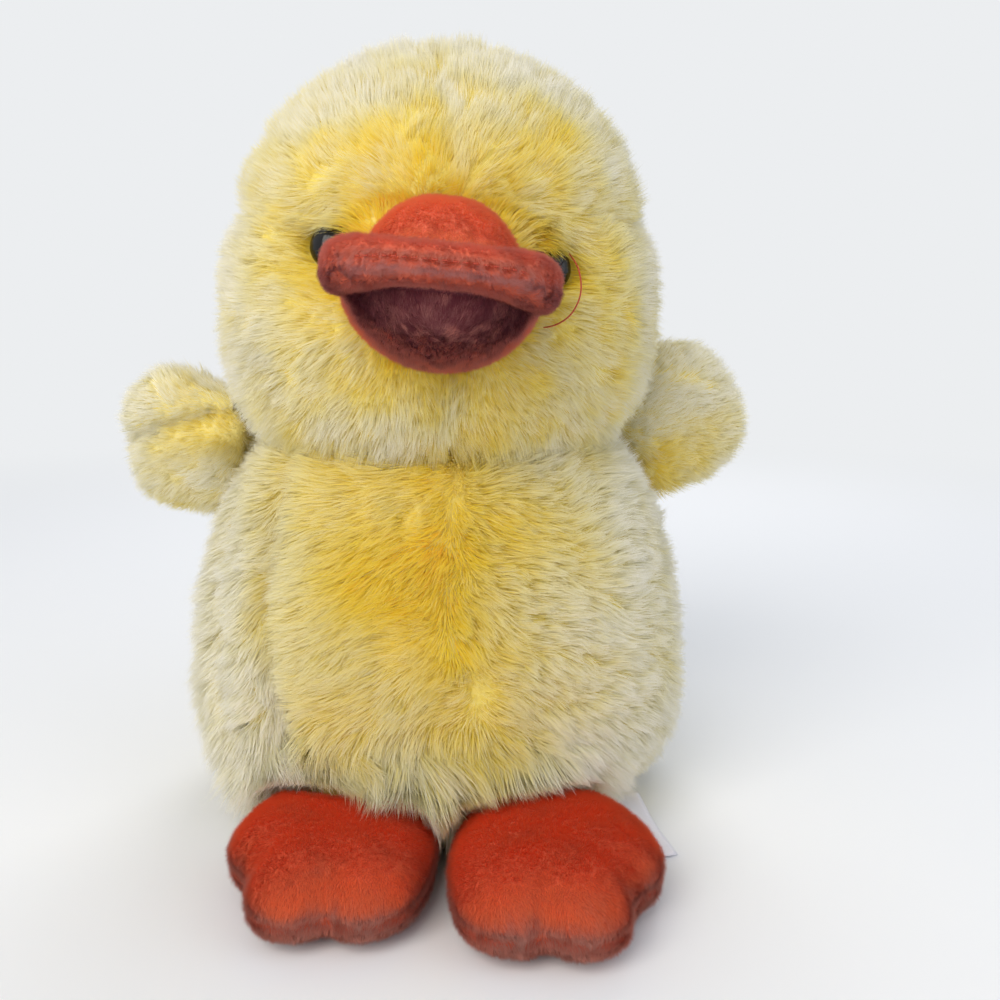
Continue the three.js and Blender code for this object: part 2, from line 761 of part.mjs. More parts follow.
// Tail: a short upturned pouch, trimmed to the back it is sewn on
{
  const limb = {
    ...tail,
    outline: smoothOutline(tail.outlineShares, tail.length, tail.width, tail.columns),
    middle: new THREE.Vector2(tail.length / 2, 0),
  };
  const tilt = new THREE.Euler(0, -radians(tail.rise), Math.PI / 2, "ZYX");
  const placed = new THREE.Matrix4().makeRotationFromEuler(tilt);
  placed.setPosition(0, body.backDepth - tail.inside, tail.height);
  const back = placed.clone().invert().toArray();
  const group = new THREE.Group();
  group.applyMatrix4(placed);
  const names = { top: "tail_top", under: "tail_underside", fill: "tail_stuffing" };
  const heights = { top: tail.thickness / 2, under: tail.thickness / 2 };
  const trim = (solid) => solid.subtract(bodyGrown.transform(back));
  addLimb(group, limb, names, heights, pile.wingDepth, furYellow, trim);
  duck.add(group);
}

// Care label: a folded satin ribbon sewn into the side, hanging to the floor
{
  const angle = radians(label.angle);
  const seat = formPoint(body, angle, riseAt(body, body.baseSeam, 0), -2 * sewing.gap - label.thickness);
  const group = new THREE.Group();
  group.position.copy(seat);
  group.rotation.order = "ZYX";
  group.rotation.set(-radians(label.lean), 0, angle + radians(label.turn));
  const ribbon = new THREE.BoxGeometry(label.width, label.thickness, label.length);
  ribbon.translate(0, -label.thickness, -label.length / 2);
  const met = inFrameOf(group, [bodyGrown]);
  group.add(piece("care_label", cleared(solidOf(ribbon), met, label.axis, label.range), labelWhite));
  duck.add(group);
}

// Loose thread
{
  const section = new THREE.Shape(
    Array.from({ length: thread.sides }, (_, i) => {
      const turn = (2 * Math.PI * i) / thread.sides;
      return new THREE.Vector2(Math.cos(turn), Math.sin(turn)).multiplyScalar(thread.diameter / 2);
    }),
  );
  const extrudePath = new THREE.CatmullRomCurve3(thread.route.map((point) => new THREE.Vector3(...point)));
  const tube = new THREE.ExtrudeGeometry(section, { steps: thread.steps, bevelEnabled: false, extrudePath });
  duck.add(piece("loose_thread", solidOf(tube), threadOrange));
}

export default duck;
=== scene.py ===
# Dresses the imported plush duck: long yellow pile, short orange pile, button eyes, label and thread.
# The duck looks along -Y. Sizes are millimetres until a mesh is made.
import json
import math

import bpy
import numpy as np
from mathutils import Euler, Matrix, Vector
from mathutils.kdtree import KDTree


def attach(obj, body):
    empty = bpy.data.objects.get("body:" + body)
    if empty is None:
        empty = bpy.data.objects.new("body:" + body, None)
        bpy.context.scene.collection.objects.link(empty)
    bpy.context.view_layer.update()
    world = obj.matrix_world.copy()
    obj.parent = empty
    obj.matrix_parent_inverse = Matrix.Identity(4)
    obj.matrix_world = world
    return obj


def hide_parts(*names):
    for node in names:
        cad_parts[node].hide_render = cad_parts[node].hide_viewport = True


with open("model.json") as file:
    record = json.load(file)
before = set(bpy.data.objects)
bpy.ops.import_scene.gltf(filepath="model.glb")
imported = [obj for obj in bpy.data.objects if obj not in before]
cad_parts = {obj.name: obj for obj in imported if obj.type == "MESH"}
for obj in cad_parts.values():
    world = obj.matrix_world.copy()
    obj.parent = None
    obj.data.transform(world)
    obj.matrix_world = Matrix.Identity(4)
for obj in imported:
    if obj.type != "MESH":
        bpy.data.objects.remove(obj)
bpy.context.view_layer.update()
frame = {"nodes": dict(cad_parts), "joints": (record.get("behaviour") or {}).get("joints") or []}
mm = 0.001
rng = np.random.default_rng(20)


def linear(hexColour):
    values = [int(hexColour[i : i + 2], 16) / 255 for i in (1, 3, 5)]
    return [v / 12.92 if v <= 0.04045 else ((v + 0.055) / 1.055) ** 2.4 for v in values] + [1.0]


# The photograph's view: a close wide lens, a little above the duck
view = {"place": (-0.016, -0.333, 0.149), "tilt": 80, "heading": -6, "lens": 26, "sensor": 24}
cameraData = bpy.data.cameras.new("photoCamera")
cameraData.lens = view["lens"]
cameraData.sensor_width = view["sensor"]
cameraData.clip_start = 0.01
photoCamera = bpy.data.objects.new("photoCamera", cameraData)
photoCamera.location = view["place"]
photoCamera.rotation_euler = Euler((math.radians(view["tilt"]), 0, math.radians(view["heading"])))
bpy.context.scene.collection.objects.link(photoCamera)
bpy.context.scene.camera = photoCamera
bpy.context.scene.view_settings.view_transform = "Standard"
print("camera placed")


def addNode(tree, kind, settings=None, links=None):
    node = tree.nodes.new("ShaderNode" + kind)
    for name, value in (settings or {}).items():
        if name in node.inputs:
            node.inputs[name].default_value = value
        else:
            setattr(node, name, value)
    for name, source in (links or {}).items():
        tree.links.new(source, node.inputs[name])
    return node


def addRamp(tree, factor, stops):
    ramp = addNode(tree, "ValToRGB", links={"Fac": factor})
    elements = ramp.color_ramp.elements
    while len(elements) < len(stops):
        elements.new(0.5)
    for element, (place, colour) in zip(elements, stops):
        element.position = place
        element.color = linear(colour)
    return ramp.outputs["Color"]


def mixColours(tree, factor, first, second):
    node = addNode(tree, "Mix", {"data_type": "RGBA"}, {"Factor": factor})
    a, b = (socket for socket in node.inputs if socket.type == "RGBA")
    tree.links.new(first, a)
    tree.links.new(second, b)
    return next(socket for socket in node.outputs if socket.type == "RGBA")


def newMaterial(name, colour, roughness, ior=1.5, **settings):
    material = bpy.data.materials.new(name)
    material.use_nodes = True
    tree = material.node_tree
    shader = tree.nodes["Principled BSDF"]
    shader.inputs["Base Color"].default_value = linear(colour)
    shader.inputs["Roughness"].default_value = roughness
    shader.inputs["IOR"].default_value = ior
    for socket, value in settings.items():
        shader.inputs[socket.replace("_", " ")].default_value = value
    return material, tree, shader


# A material coloured by the factor of a texture, with relief (strength and depth) and a paler rear where given
def patternMaterial(name, colour, roughness, ior, texture, stops, relief=None, rear=None, placed=True, **settings):
    material, tree, shader = newMaterial(name, colour, roughness, ior, **settings)
    place = addNode(tree, "TexCoord").outputs["Object"] if placed else None
    factor = addNode(tree, *texture, {"Vector": place} if placed else None).outputs["Fac"]
    shown = addRamp(tree, factor, stops)
    if rear:
        parts = addNode(tree, "SeparateXYZ", links={"Vector": place})
        turnsPale = {"From Min": knit["rearFrom"], "From Max": knit["rearTo"]}
        behind = addNode(tree, "MapRange", turnsPale, {"Value": parts.outputs["Y"]})
        shown = mixColours(tree, behind.outputs["Result"], shown, addRamp(tree, factor, [(0.3, rear), (0.7, rear)]))
    tree.links.new(shown, shader.inputs["Base Color"])
    if relief:
        bump = addNode(tree, "Bump", dict(zip(("Strength", "Distance"), relief)), {"Height": factor})
        tree.links.new(bump.outputs["Normal"], shader.inputs["Normal"])
    return material


# The knitted cloth under the pile: its grain, and from where to where it turns paler behind, in metres along Y
knit = {"detail": 4, "relief": (0.5, 0.0006), "rearFrom": -0.01, "rearTo": 0.02}


def backingMaterial(name, deep, light, scale, roughness, rear=None):
    texture = ("TexNoise", {"Scale": scale, "Detail": knit["detail"]})
    return patternMaterial(name, deep, roughness, 1.5, texture, [(0.3, deep), (0.7, light)], knit["relief"], rear)


# The stuffed forms that the cloth lies on
body = {
    "base": 0, "widest": 44, "halfWidth": 77, "frontDepth": 59, "backDepth": 60,
    "reachUp": 72, "reachDown": 50, "topFullness": 3.7, "bottomFullness": 3.1,
    "squareness": 2.25, "lean": 0, "taper": 0.14, "domed": False, "sideSeam": -20,
}
head = {
    "base": 112, "widest": 38, "halfWidth": 65.5, "frontDepth": 57, "backDepth": 59,
    "reachUp": 75, "reachDown": 46, "topFullness": 2.1, "bottomFullness": 2.9,
    "squareness": 2.15, "lean": 0.026, "taper": 0, "domed": True, "eyeSeam": 61,
}
skinDepth = 7.6  # from the tips of the long pile down to where its fibres are drawn from
wingSkinDepth = 4.6
undercoat = 3.6  # the cloth is shown this far above the roots, where the fibres' feet mat together
wingUndercoat = 2.2


def power(value, exponent):
    return np.sign(value) * np.abs(value) ** exponent


def formPoint(form, angle, rise, inset):
    up = rise >= 0
    curve = 2 / np.where(up, form["topFullness"], form["bottomFullness"])
    reachUp = form["reachUp"] - (inset if form["domed"] else 0)
    height = np.where(up, reachUp, form["reachDown"]) * power(np.sin(rise), curve)
    spread = (1 - form["taper"] * np.maximum(0, height / form["reachUp"])) * power(np.cos(rise), curve)
    corner = 2 / form["squareness"]
    depth = np.where(np.cos(angle) > 0, form["frontDepth"], form["backDepth"])
    return np.stack(
        [
            form["lean"] * (form["widest"] + height)
            + (form["halfWidth"] - inset) * spread * power(np.sin(angle), corner),
            -(depth - inset) * spread * power(np.cos(angle), corner),
            form["base"] + form["widest"] + height,
        ],
        axis=-1,
    )


def riseAt(form, height, inset):
    up = height >= form["widest"]
    reach = (form["reachUp"] - (inset if form["domed"] else 0)) if up else form["reachDown"]
    share = min(1, abs(height - form["widest"]) / reach)
    fullness = form["topFullness"] if up else form["bottomFullness"]
    return math.copysign(math.asin(share ** (fullness / 2)), height - form["widest"])


def unit(vectors):
    return vectors / np.maximum(np.linalg.norm(vectors, axis=-1, keepdims=True), 1e-9)


def smoothStep(low, high, value):
    t = np.clip((value - low) / (high - low), 0, 1)
    return t * t * (3 - 2 * t)


# A hump that is 1 where the value is 0 and has almost gone at twice the width. In the functions that comb and
# colour a form, each hump or step says where something happens, in mm, and the number before it says how much
def bell(value, width):
    return np.exp(-((value / width) ** 2))


def distance(points, centre):
    return np.linalg.norm(points - centre, axis=1)


# The places along a curve that leaves p1 and reaches p2, t from 0 to 1, as smoothly as its neighbours allow
def between(p0, p1, p2, p3, t):
    leaving, arriving = (p2 - p0) / 2, (p3 - p1) / 2
    return (
        (2 * t**3 - 3 * t**2 + 1) * p1 + (t**3 - 2 * t**2 + t) * leaving
        + (3 * t**2 - 2 * t**3) * p2 + (t**3 - t**2) * arriving
    )


# A soft wandering value between about -1 and 1, with features of that size
class Wander:
    def __init__(self, size, seed, waves=9):
        own = np.random.default_rng(seed)
        self.turn = unit(own.normal(size=(waves, 3))) * 2 * math.pi / (size * own.uniform(0.7, 1.6, (waves, 1)))
        self.phase = own.uniform(0, 2 * math.pi, waves)
        self.share = math.sqrt(2 / waves)

    def __call__(self, points):
        return np.sin(points @ self.turn.T + self.phase).sum(-1) * self.share


# Rings of points with a middle point at each end, as one closed skin
def ringSkin(rings, first, last):
    count, columns = rings.shape[:2]
    points = np.concatenate([first[None], rings.reshape(-1, 3), last[None]])
    column = np.arange(columns)
    after = (column + 1) % columns
    row = np.arange(count - 1)[:, None] * columns + 1
    quads = np.stack([row + column, row + after, row + columns + after, row + columns + column], -1)
    quads = quads.reshape(-1, 4)
    top = (count - 1) * columns + 1
    bottomFan = np.stack([np.zeros(columns, int), 1 + after, 1 + column], -1)
    topFan = np.stack([np.full(columns, len(points) - 1), top + column, top + after], -1)
    triangles = np.concatenate([bottomFan, quads[:, [0, 1, 2]], quads[:, [0, 2, 3]], topFan])
    return {
        "points": points,
        "quads": quads,
        "fans": np.concatenate([bottomFan, topFan]),
        "triangles": triangles,
        "normals": skinNormals(points, triangles),
    }


def skinNormals(points, triangles):
    corners = points[triangles]
    flat = np.cross(corners[:, 1] - corners[:, 0], corners[:, 2] - corners[:, 0])
    total = np.zeros_like(points)
    for corner in range(3):
        np.add.at(total, triangles[:, corner], flat)
    return unit(total)


def moveSkin(skin, turn, place):
    skin["points"] = skin["points"] @ turn.T + place
    skin["normals"] = skin["normals"] @ turn.T
    return skin


def turnMatrix(x=0, y=0, z=0):
    return np.array(Euler((math.radians(x), math.radians(y), math.radians(z))).to_matrix())


# A mesh object from points in millimetres, quads and triangles, with corner UVs where given
def makeMesh(name, points, quads, triangles, uvs=None):
    mesh = bpy.data.meshes.new(name)
    corners = np.concatenate([quads.ravel(), triangles.ravel()])
    starts = np.concatenate([np.arange(len(quads)) * 4, 4 * len(quads) + np.arange(len(triangles)) * 3])
    mesh.vertices.add(len(points))
    mesh.vertices.foreach_set("co", (points * mm).astype(np.float32).ravel())
    mesh.loops.add(len(corners))
    mesh.loops.foreach_set("vertex_index", corners.astype(np.int32))
    mesh.polygons.add(len(starts))
    mesh.polygons.foreach_set("loop_start", starts.astype(np.int32))
    mesh.polygons.foreach_set("use_smooth", np.ones(len(starts), bool))
    if uvs is not None:
        layer = mesh.uv_layers.new(name="OFBake")
        layer.data.foreach_set("uv", uvs[corners].astype(np.float32).ravel())
    mesh.update(calc_edges=True)
    made = bpy.data.objects.new(name, mesh)
    bpy.context.scene.collection.objects.link(made)
    return made


def skinObject(name, skin, material, bodyName, raised=None):
    points = skin["points"] if raised is None else skin["points"] + skin["normals"] * raised
    made = makeMesh(name, points, skin["quads"], skin["fans"])
    made.data.materials.append(material)
    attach(made, bodyName)
    return made


# The stuffed core of one form, shown as the cloth backing of its pile
def coreObject(name, skin, pile, stuffing, raised=None, bodyName="torso"):
    made = skinObject(name, skin, pile["backing"], bodyName, raised)
    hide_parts(stuffing)


# A closed smooth outline through points, in even steps of its parameter
def smoothOutline(points, columns):
    points = np.array(points, float)
    count = len(points)
    spot = np.arange(columns) * count / columns
    index = spot.astype(int)
    found = between(*(points[(index + k) % count] for k in (-1, 0, 1, 2)), (spot - index)[:, None])
    area = np.sum(found[:, 0] * np.roll(found[:, 1], -1) - np.roll(found[:, 0], -1) * found[:, 1])
    return found if area > 0 else found[::-1]


# An open smooth curve through points
def openCurve(points, count):
    points = np.array(points, float)
    points = np.concatenate([2 * points[:1] - points[1:2], points, 2 * points[-1:] - points[-2:-1]])
    spot = np.linspace(0, len(points) - 3 - 1e-6, count)
    index = spot.astype(int)
    return between(*(points[index + k] for k in range(4)), (spot - index)[:, None])


# A flat stuffed piece between two panels that are sewn round its outline
def pillowSkin(piece, outline, middle):
    arms = outline - middle
    length = np.linalg.norm(arms, axis=1)
    over, under = piece["over"] - piece["inset"], piece["under"] - piece["inset"]
    rings = []
    for level in np.linspace(-math.pi / 2, math.pi / 2, piece["rows"] + 2)[1:-1]:
        height = math.sin(level) * (over if level > 0 else under)
        drawn = piece["inset"] + piece["groove"] * bell(height, piece["grooveReach"])
        share = math.cos(level) ** (2 / piece["fullness"]) * np.maximum(length - drawn, 0) / length
        flat = middle + arms * share[:, None]
        rings.append(np.column_stack([flat, np.full(len(flat), height)]))
    return ringSkin(np.array(rings), np.array([*middle, -under]), np.array([*middle, over]))


# The outline of a piece, from shares of its length and width
def pieceOutline(piece, lengthAcross=False, side=1):
    sizes = (piece["width"] * side, piece["length"]) if lengthAcross else (piece["length"], piece["width"])
    return smoothOutline([(x * sizes[0], y * sizes[1]) for x, y in piece["outline"]], piece["columns"])


# Pile: how fibres are placed, grown and coloured. Each pair is the least and the most
fibre = {
    "sunk": 0.4,  # how far under the skin it starts, mm
    "lengths": (0.6, 1.3), "shortLengths": (0.5, 0.85), "widths": (0.7, 1.3),  # shares of the pile's own
    "pulls": (0.5, 1.15), "mostPull": 0.95, "pullBend": 1.5,  # how far and how late a lock draws it in
    "waveAngle": 5,  # radians that its curl turns by from root to tip
    "tones": (0.02, 0.98), "toneEdge": 0.004, "places": (0.01, 0.99),  # kept inside the UV map
    "mostTriangles": 190000,  # in one piece of fur
}


# Roots spread evenly over a skin, where the weight lets them grow
def scatter(skin, density, weight=None):
    corners = skin["points"][skin["triangles"]]
    area = np.linalg.norm(np.cross(corners[:, 1] - corners[:, 0], corners[:, 2] - corners[:, 0]), axis=1) / 2
    if weight is not None:
        area = area * weight(corners.mean(1))
    ends = np.cumsum(area)
    chosen = np.searchsorted(ends, rng.uniform(0, ends[-1], int(ends[-1] * density)))
    chosen = np.minimum(chosen, len(area) - 1)
    a, b = rng.uniform(size=(2, len(chosen)))
    over = a + b > 1
    a[over], b[over] = 1 - a[over], 1 - b[over]
    mix = np.stack([1 - a - b, a, b], -1)[:, :, None]
    index = skin["triangles"][chosen]
    return (skin["points"][index] * mix).sum(1), unit((skin["normals"][index] * mix).sum(1))


# Directions laid into the surface
def flatten(vectors, normals):
    return unit(vectors - (vectors * normals).sum(-1, keepdims=True) * normals)


def growLines(roots, normals, comb, length, lean, rows):
    lines = [roots - fibre["sunk"] * normals]
    for row in range(rows):
        angle = lean[0] + (lean[1] - lean[0]) * (row + 0.5) / rows
        step = normals * np.cos(angle)[:, None] + comb * np.sin(angle)[:, None]
        lines.append(lines[-1] + step * (length / rows)[:, None])
    return np.stack(lines, 1)


def nearest(points, centres):
    tree = KDTree(len(centres))
    for i, centre in enumerate(centres):
        tree.insert(centre, i)
    tree.balance()
    return np.array([tree.find(p)[1] for p in points])


# A coat: where each fibre grows, its combing and tone, and how it differs from its pile
def coatOf(roots, normals, comb, tone, length=1.0, lean=0.0, clump=1.0):
    even = np.ones(len(roots))
    values = {"tone": tone, "length": length, "lean": lean, "clump": clump}
    return {"roots": roots, "normals": normals, "comb": comb, **{key: v * even for key, v in values.items()}}


def partOf(coat, own):
    return {key: values[own] for key, values in coat.items()}


# Draws fibres towards the middle fibre of their lock, more and more towards the tip
def drawTogether(lines, length, centre, pull):
    rows = lines.shape[1] - 1
    along = np.linspace(0, 1, rows + 1)
    spot = np.clip(along * rows * (length / length[centre])[:, None], 0, rows - 1e-6)
    index = spot.astype(int)
    low, high = (np.take_along_axis(lines[centre], (index + k)[:, :, None], 1) for k in (0, 1))
    middle = low + (high - low) * (spot - index)[:, :, None]
    strength = (pull * rng.uniform(*fibre["pulls"], len(lines))).clip(0, fibre["mostPull"])[:, None, None]
    return lines + (middle - lines) * strength * along[None, :, None] ** fibre["pullBend"]


# Grows the fur of one node. The long pile's dictionary says what each value of a pile is
def growPile(node, coat, pile, bodyName="torso", lift=None):
    roots, normals, comb = coat["roots"], coat["normals"], coat["comb"]
    count, rows = len(roots), pile["rows"]
    length = pile["length"] * coat["length"] * rng.normal(1, pile["lengthSpread"], count).clip(*fibre["lengths"])
    isShort = rng.uniform(size=count) < pile["shortShare"]
    length = length * np.where(isShort, rng.uniform(*fibre["shortLengths"], count), 1)
    lean, swing = rng.normal(coat["lean"], pile["leanSpread"]), rng.normal(0, pile["swing"], count)
    tone = coat["tone"] + rng.normal(0, pile["toneSpread"], count)
    locks = []
    for lock in pile["locks"]:
        centres = rng.choice(count, max(2, int(count / pile["density"] / lock["spacing"] ** 2)), replace=False)
        own = nearest(roots, roots[centres])
        lean += rng.normal(0, lock["lean"], len(centres))[own]
        swing += rng.normal(0, lock["swing"], len(centres))[own]
        tone = tone + rng.normal(0, lock["tone"], len(centres))[own]
        locks.append((centres[own], lock["pull"]))
    swing = np.radians(swing)[:, None]
    side = np.cross(normals, comb)
    comb = comb * np.cos(swing) + side * np.sin(swing)
    leans = [np.radians(np.clip(pile["lean"][k] + lean, 0, 89)) for k in (0, 1)]
    lines = growLines(roots, normals, comb, length, leans, rows)
    for centre, pull in locks:
        lines = drawTogether(lines, length, centre, pull * coat["clump"])
    phase = rng.uniform(0, 2 * math.pi, (count, 1, 1))
    along = np.linspace(0, 1, rows + 1)[None, :, None]
    lines = lines + side[:, None, :] * pile["wave"] * np.sin(phase + fibre["waveAngle"] * along) * along
    lines[:, :, 2] = np.maximum(lines[:, :, 2], pile["floor"] if lift is None else lift(lines))
    parts = math.ceil(count * (2 * rows - 1) / fibre["mostTriangles"])
    for k, own in enumerate(np.array_split(np.argsort(roots[:, 2]), parts)):
        name = f"{node}_pile_{k + 1}" if parts > 1 else f"{node}_pile"
        made = ribbonObject(name, lines[own], normals[own], tone[own], pile, bodyName)
        if node in frame["nodes"]:
            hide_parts(node)
    print(node, count, "fibres in", parts)


# Grows one coat in the panels that share it
def growPanels(coat, panels, pile, bodyName="torso", lift=None):
    for node, own in panels.items():
        growPile(node, partOf(coat, own), pile, bodyName, lift)


# Flat tapering ribbons along the lines. The UV map holds tone across and place along, for the colour
def ribbonObject(name, lines, normals, tone, pile, bodyName):
    count, rows = len(lines), lines.shape[1] - 1
    run = unit(np.diff(lines, axis=1))
    across = unit(np.cross(run, normals[:, None, :]))
    roll = np.radians(rng.normal(0, pile["roll"], (count, 1, 1)))
    across = across * np.cos(roll) + np.cross(run, across) * np.sin(roll)
    halfWidth = pile["width"] / 2 * rng.uniform(*fibre["widths"], (count, 1, 1))
    taper = np.array(pile["taper"])[None, :rows, None]
    stride = 2 * rows + 1
    points = np.empty((count, stride, 3))
    points[:, 0:-1:2] = lines[:, :-1] - across * halfWidth * taper
    points[:, 1:-1:2] = lines[:, :-1] + across * halfWidth * taper
    points[:, -1] = lines[:, -1]
    start = (np.arange(count) * stride)[:, None]
    quads = [start + np.array([2 * k, 2 * k + 1, 2 * k + 3, 2 * k + 2]) for k in range(rows - 1)]
    quads = np.concatenate(quads) if quads else np.empty((0, 4), int)
    tips = start + np.array([stride - 3, stride - 2, stride - 1])
    tone = np.clip(tone, *fibre["tones"])
    uvs = np.empty((count, stride, 2))
    uvs[:, 0:-1:2, 0] = tone[:, None] - fibre["toneEdge"]
    uvs[:, 1:-1:2, 0] = tone[:, None] + fibre["toneEdge"]
    uvs[:, -1, 0] = tone
    along = np.linspace(*fibre["places"], rows + 1)
    uvs[:, 0:-1:2, 1] = uvs[:, 1:-1:2, 1] = along[:-1]
    uvs[:, -1, 1] = along[-1]
    made = makeMesh(name, points.reshape(-1, 3), quads, tips, uvs.reshape(-1, 2))
    facing = unit(np.cross(across, run))
    facing = unit(facing * (1 - pile["softness"]) + normals[:, None, :] * pile["softness"])
    shown = np.empty((count, stride, 3))
    shown[:, 0:-1:2] = shown[:, 1:-1:2] = facing
    shown[:, -1] = facing[:, -1]
    made.data.normals_split_custom_set_from_vertices(shown.reshape(-1, 3))
    made.data.materials.append(pile["material"])
    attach(made, bodyName)
    return made


# Fibres pass some of the light on, so part of the shade is a translucent one of the same colour
def pileMaterial(name, roots, tips, turn, roughness, sheen, tint, through):
    material, tree, shader = newMaterial(
        name, tips[1][1], roughness, 1.5, Sheen_Weight=sheen, Sheen_Roughness=0.5, Specular_IOR_Level=0.2,
    )
    shader.inputs["Sheen Tint"].default_value = linear(tint)
    spot = addNode(tree, "UVMap", {"uv_map": "OFBake"})
    parts = addNode(tree, "SeparateXYZ", links={"Vector": spot.outputs["UV"]})
    change = addNode(
        tree, "MapRange",
        {"interpolation_type": "SMOOTHSTEP", "From Min": turn[0], "From Max": turn[1]},
        {"Value": parts.outputs["Y"]},
    )
    rootColour, tipColour = (addRamp(tree, parts.outputs["X"], stops) for stops in (roots, tips))
    colour = mixColours(tree, change.outputs["Result"], rootColour, tipColour)
    tree.links.new(colour, shader.inputs["Base Color"])
    glow = addNode(tree, "BsdfTranslucent", links={"Color": colour})
    both = addNode(tree, "MixShader", {"Fac": through}, {1: shader.outputs["BSDF"], 2: glow.outputs["BSDF"]})
    tree.links.new(both.outputs["Shader"], tree.nodes["Material Output"].inputs["Surface"])
    return material


# Acrylic plush: fibres dyed deep at the root and pale at the tip, so it is bright where it parts
furYellow = pileMaterial(
    "acrylicPileYellow",
    [(0.0, "#f0a238"), (0.22, "#fae038"), (0.6, "#f3e168"), (1.0, "#f0ebc4")],
    [(0.0, "#f5bc58"), (0.22, "#fbe852"), (0.6, "#f8f3ce"), (1.0, "#fdfbf4")],
    (0.3, 0.95), 0.6, 0.2, "#fffbe8", 0.45,
)
# Matted feet of the fibres over a knitted polyester backing, seen only where the pile parts; paler at the back
backingYellow = backingMaterial("knitBackingYellow", "#dfc858", "#ead87a", 900, 0.85, "#e6d898")
longPile = {
    "material": furYellow, "backing": backingYellow, "slot": "pile_yellow",
    "length": 12.5,  # of a fibre, mm
    "lengthSpread": 0.1,
    "shortShare": 0.35,  # share of fibres that are cut shorter
    "density": 8,  # fibres drawn for each square mm, each a few real ones wide
    "lean": (22, 68),  # from the backing's normal, at the root and at the tip
    "leanSpread": 6,
    "swing": 12,  # sideways scatter of the combing, degrees
    # Locks: spacing in mm, how far tips are drawn together, and how much locks differ
    "locks": [
        {"spacing": 6, "pull": 0.25, "lean": 6, "swing": 9, "tone": 0.02},
        {"spacing": 1.7, "pull": 0.45, "lean": 4, "swing": 7, "tone": 0.02},
    ],
    "wave": 0.25,  # how far a fibre curls to its sides, mm
    "toneSpread": 0.06,
    "width": 0.19,
    "taper": (0.9, 1.0),  # share of the width at the start of each row
    "roll": 12,
    "rows": 2,
    "softness": 0.55,  # how far a fibre is shaded as the cloth under it
    "floor": 0.3,
}
headPile = {
    **longPile, "length": 10.5, "lean": (14, 50), "swing": 16, "width": 0.18,
    "locks": [
        {"spacing": 6, "pull": 0.18, "lean": 7, "swing": 14, "tone": 0.03},
        {"spacing": 1.6, "pull": 0.4, "lean": 4, "swing": 7, "tone": 0.02},
    ],
}
wingPile = {**headPile, "length": 8.5, "lean": (25, 70)}


def seamDip(form, angle, height, seams):
    total = np.zeros_like(angle)
    for heights, angles, depth, reach in seams:
        away = (angle - np.interp(height, heights, angles) + math.pi) % (2 * math.pi) - math.pi
        total += depth * bell(away * form["halfWidth"], reach)
    return total


def formSkin(form, seams, levelSeams, columns, rows, low, high):
    angle = np.linspace(-math.pi, math.pi, columns, endpoint=False)[None, :].repeat(rows, 0)
    rise = np.linspace(riseAt(form, low, skinDepth), riseAt(form, high, skinDepth), rows + 2)[1:-1]
    rise = rise[:, None].repeat(columns, 1)
    level = formPoint(form, angle, rise, skinDepth)[..., 2] - form["base"]
    inset = skinDepth + seamDip(form, angle, level, seams)
    for where, depth, reach in levelSeams:
        inset = inset + depth * bell(level - where, reach)
    rings = formPoint(form, angle, rise, inset)
    rings[..., 2] = level + form["base"]
    first = formPoint(form, np.zeros(1), np.array([rise[0, 0]]), form["halfWidth"])[0] * [0, 0, 1]
    last = formPoint(form, np.zeros(1), np.array([rise[-1, 0]]), skinDepth)[0]
    last[1] = 0
    first[2], last[2] = rings[0, :, 2].mean(), rings[-1, :, 2].mean()
    return ringSkin(rings, first, last)


joints = {joint["name"]: joint for joint in frame["joints"]}


def pivotOf(bodyName):
    joint = joints[f"{bodyName}_seam"]
    return np.array(joint["pos_m"]) / mm, unit(np.array(joint["axis"])), joint["range_deg"]


foot = {
    "length": 68, "width": 57, "under": 8, "over": 14, "fullness": 3.6, "columns": 220, "rows": 80, "inset": 1.3,
    "groove": 1.4, "grooveReach": 1.8,
    "outline": [
        (0, 0), (0.24, -0.02), (0.42, -0.2), (0.5, -0.42), (0.485, -0.58), (0.4, -0.68), (0.33, -0.79),
        (0.3, -0.9), (0.2, -0.985), (0.07, -1), (-0.06, -0.955), (-0.16, -0.99), (-0.31, -0.96),
        (-0.43, -0.84), (-0.485, -0.6), (-0.47, -0.35), (-0.38, -0.12), (-0.24, -0.02),
    ],
    "pose": {"left": {"tuck": 0, "splay": -7}, "right": {"tuck": 13, "splay": 8}},
}
rest = {"onFloor": 0.4, "onFeet": 1.6, "squareness": 2.6}  # how high fibres lie over what they rest on


# The lowest that the belly's fibres may lie: on the feet, or on the floor
def overFeet(points):
    lowest = np.full(points.shape[:-1], rest["onFloor"])
    half, corner = foot["length"] / 2, rest["squareness"]
    for side, name in ((1, "left"), (-1, "right")):
        pivot, axis, limits = pivotOf(f"foot_{name}")
        pose = foot["pose"][name]
        local = (points - pivot) @ turnMatrix(0, 0, side * pose["splay"])
        wide = np.abs(local[..., 0]) / (foot["width"] / 2)
        long = np.abs(local[..., 1] - pose["tuck"] + half) / half
        share = np.minimum((wide**corner + long**corner) ** (1 / corner), 1)
        height = pivot[2] + foot["over"] * (1 - share ** foot["fullness"]) ** (1 / foot["fullness"]) + rest["onFeet"]
        lowest = np.where(share < 1, np.maximum(lowest, height), lowest)
    return lowest


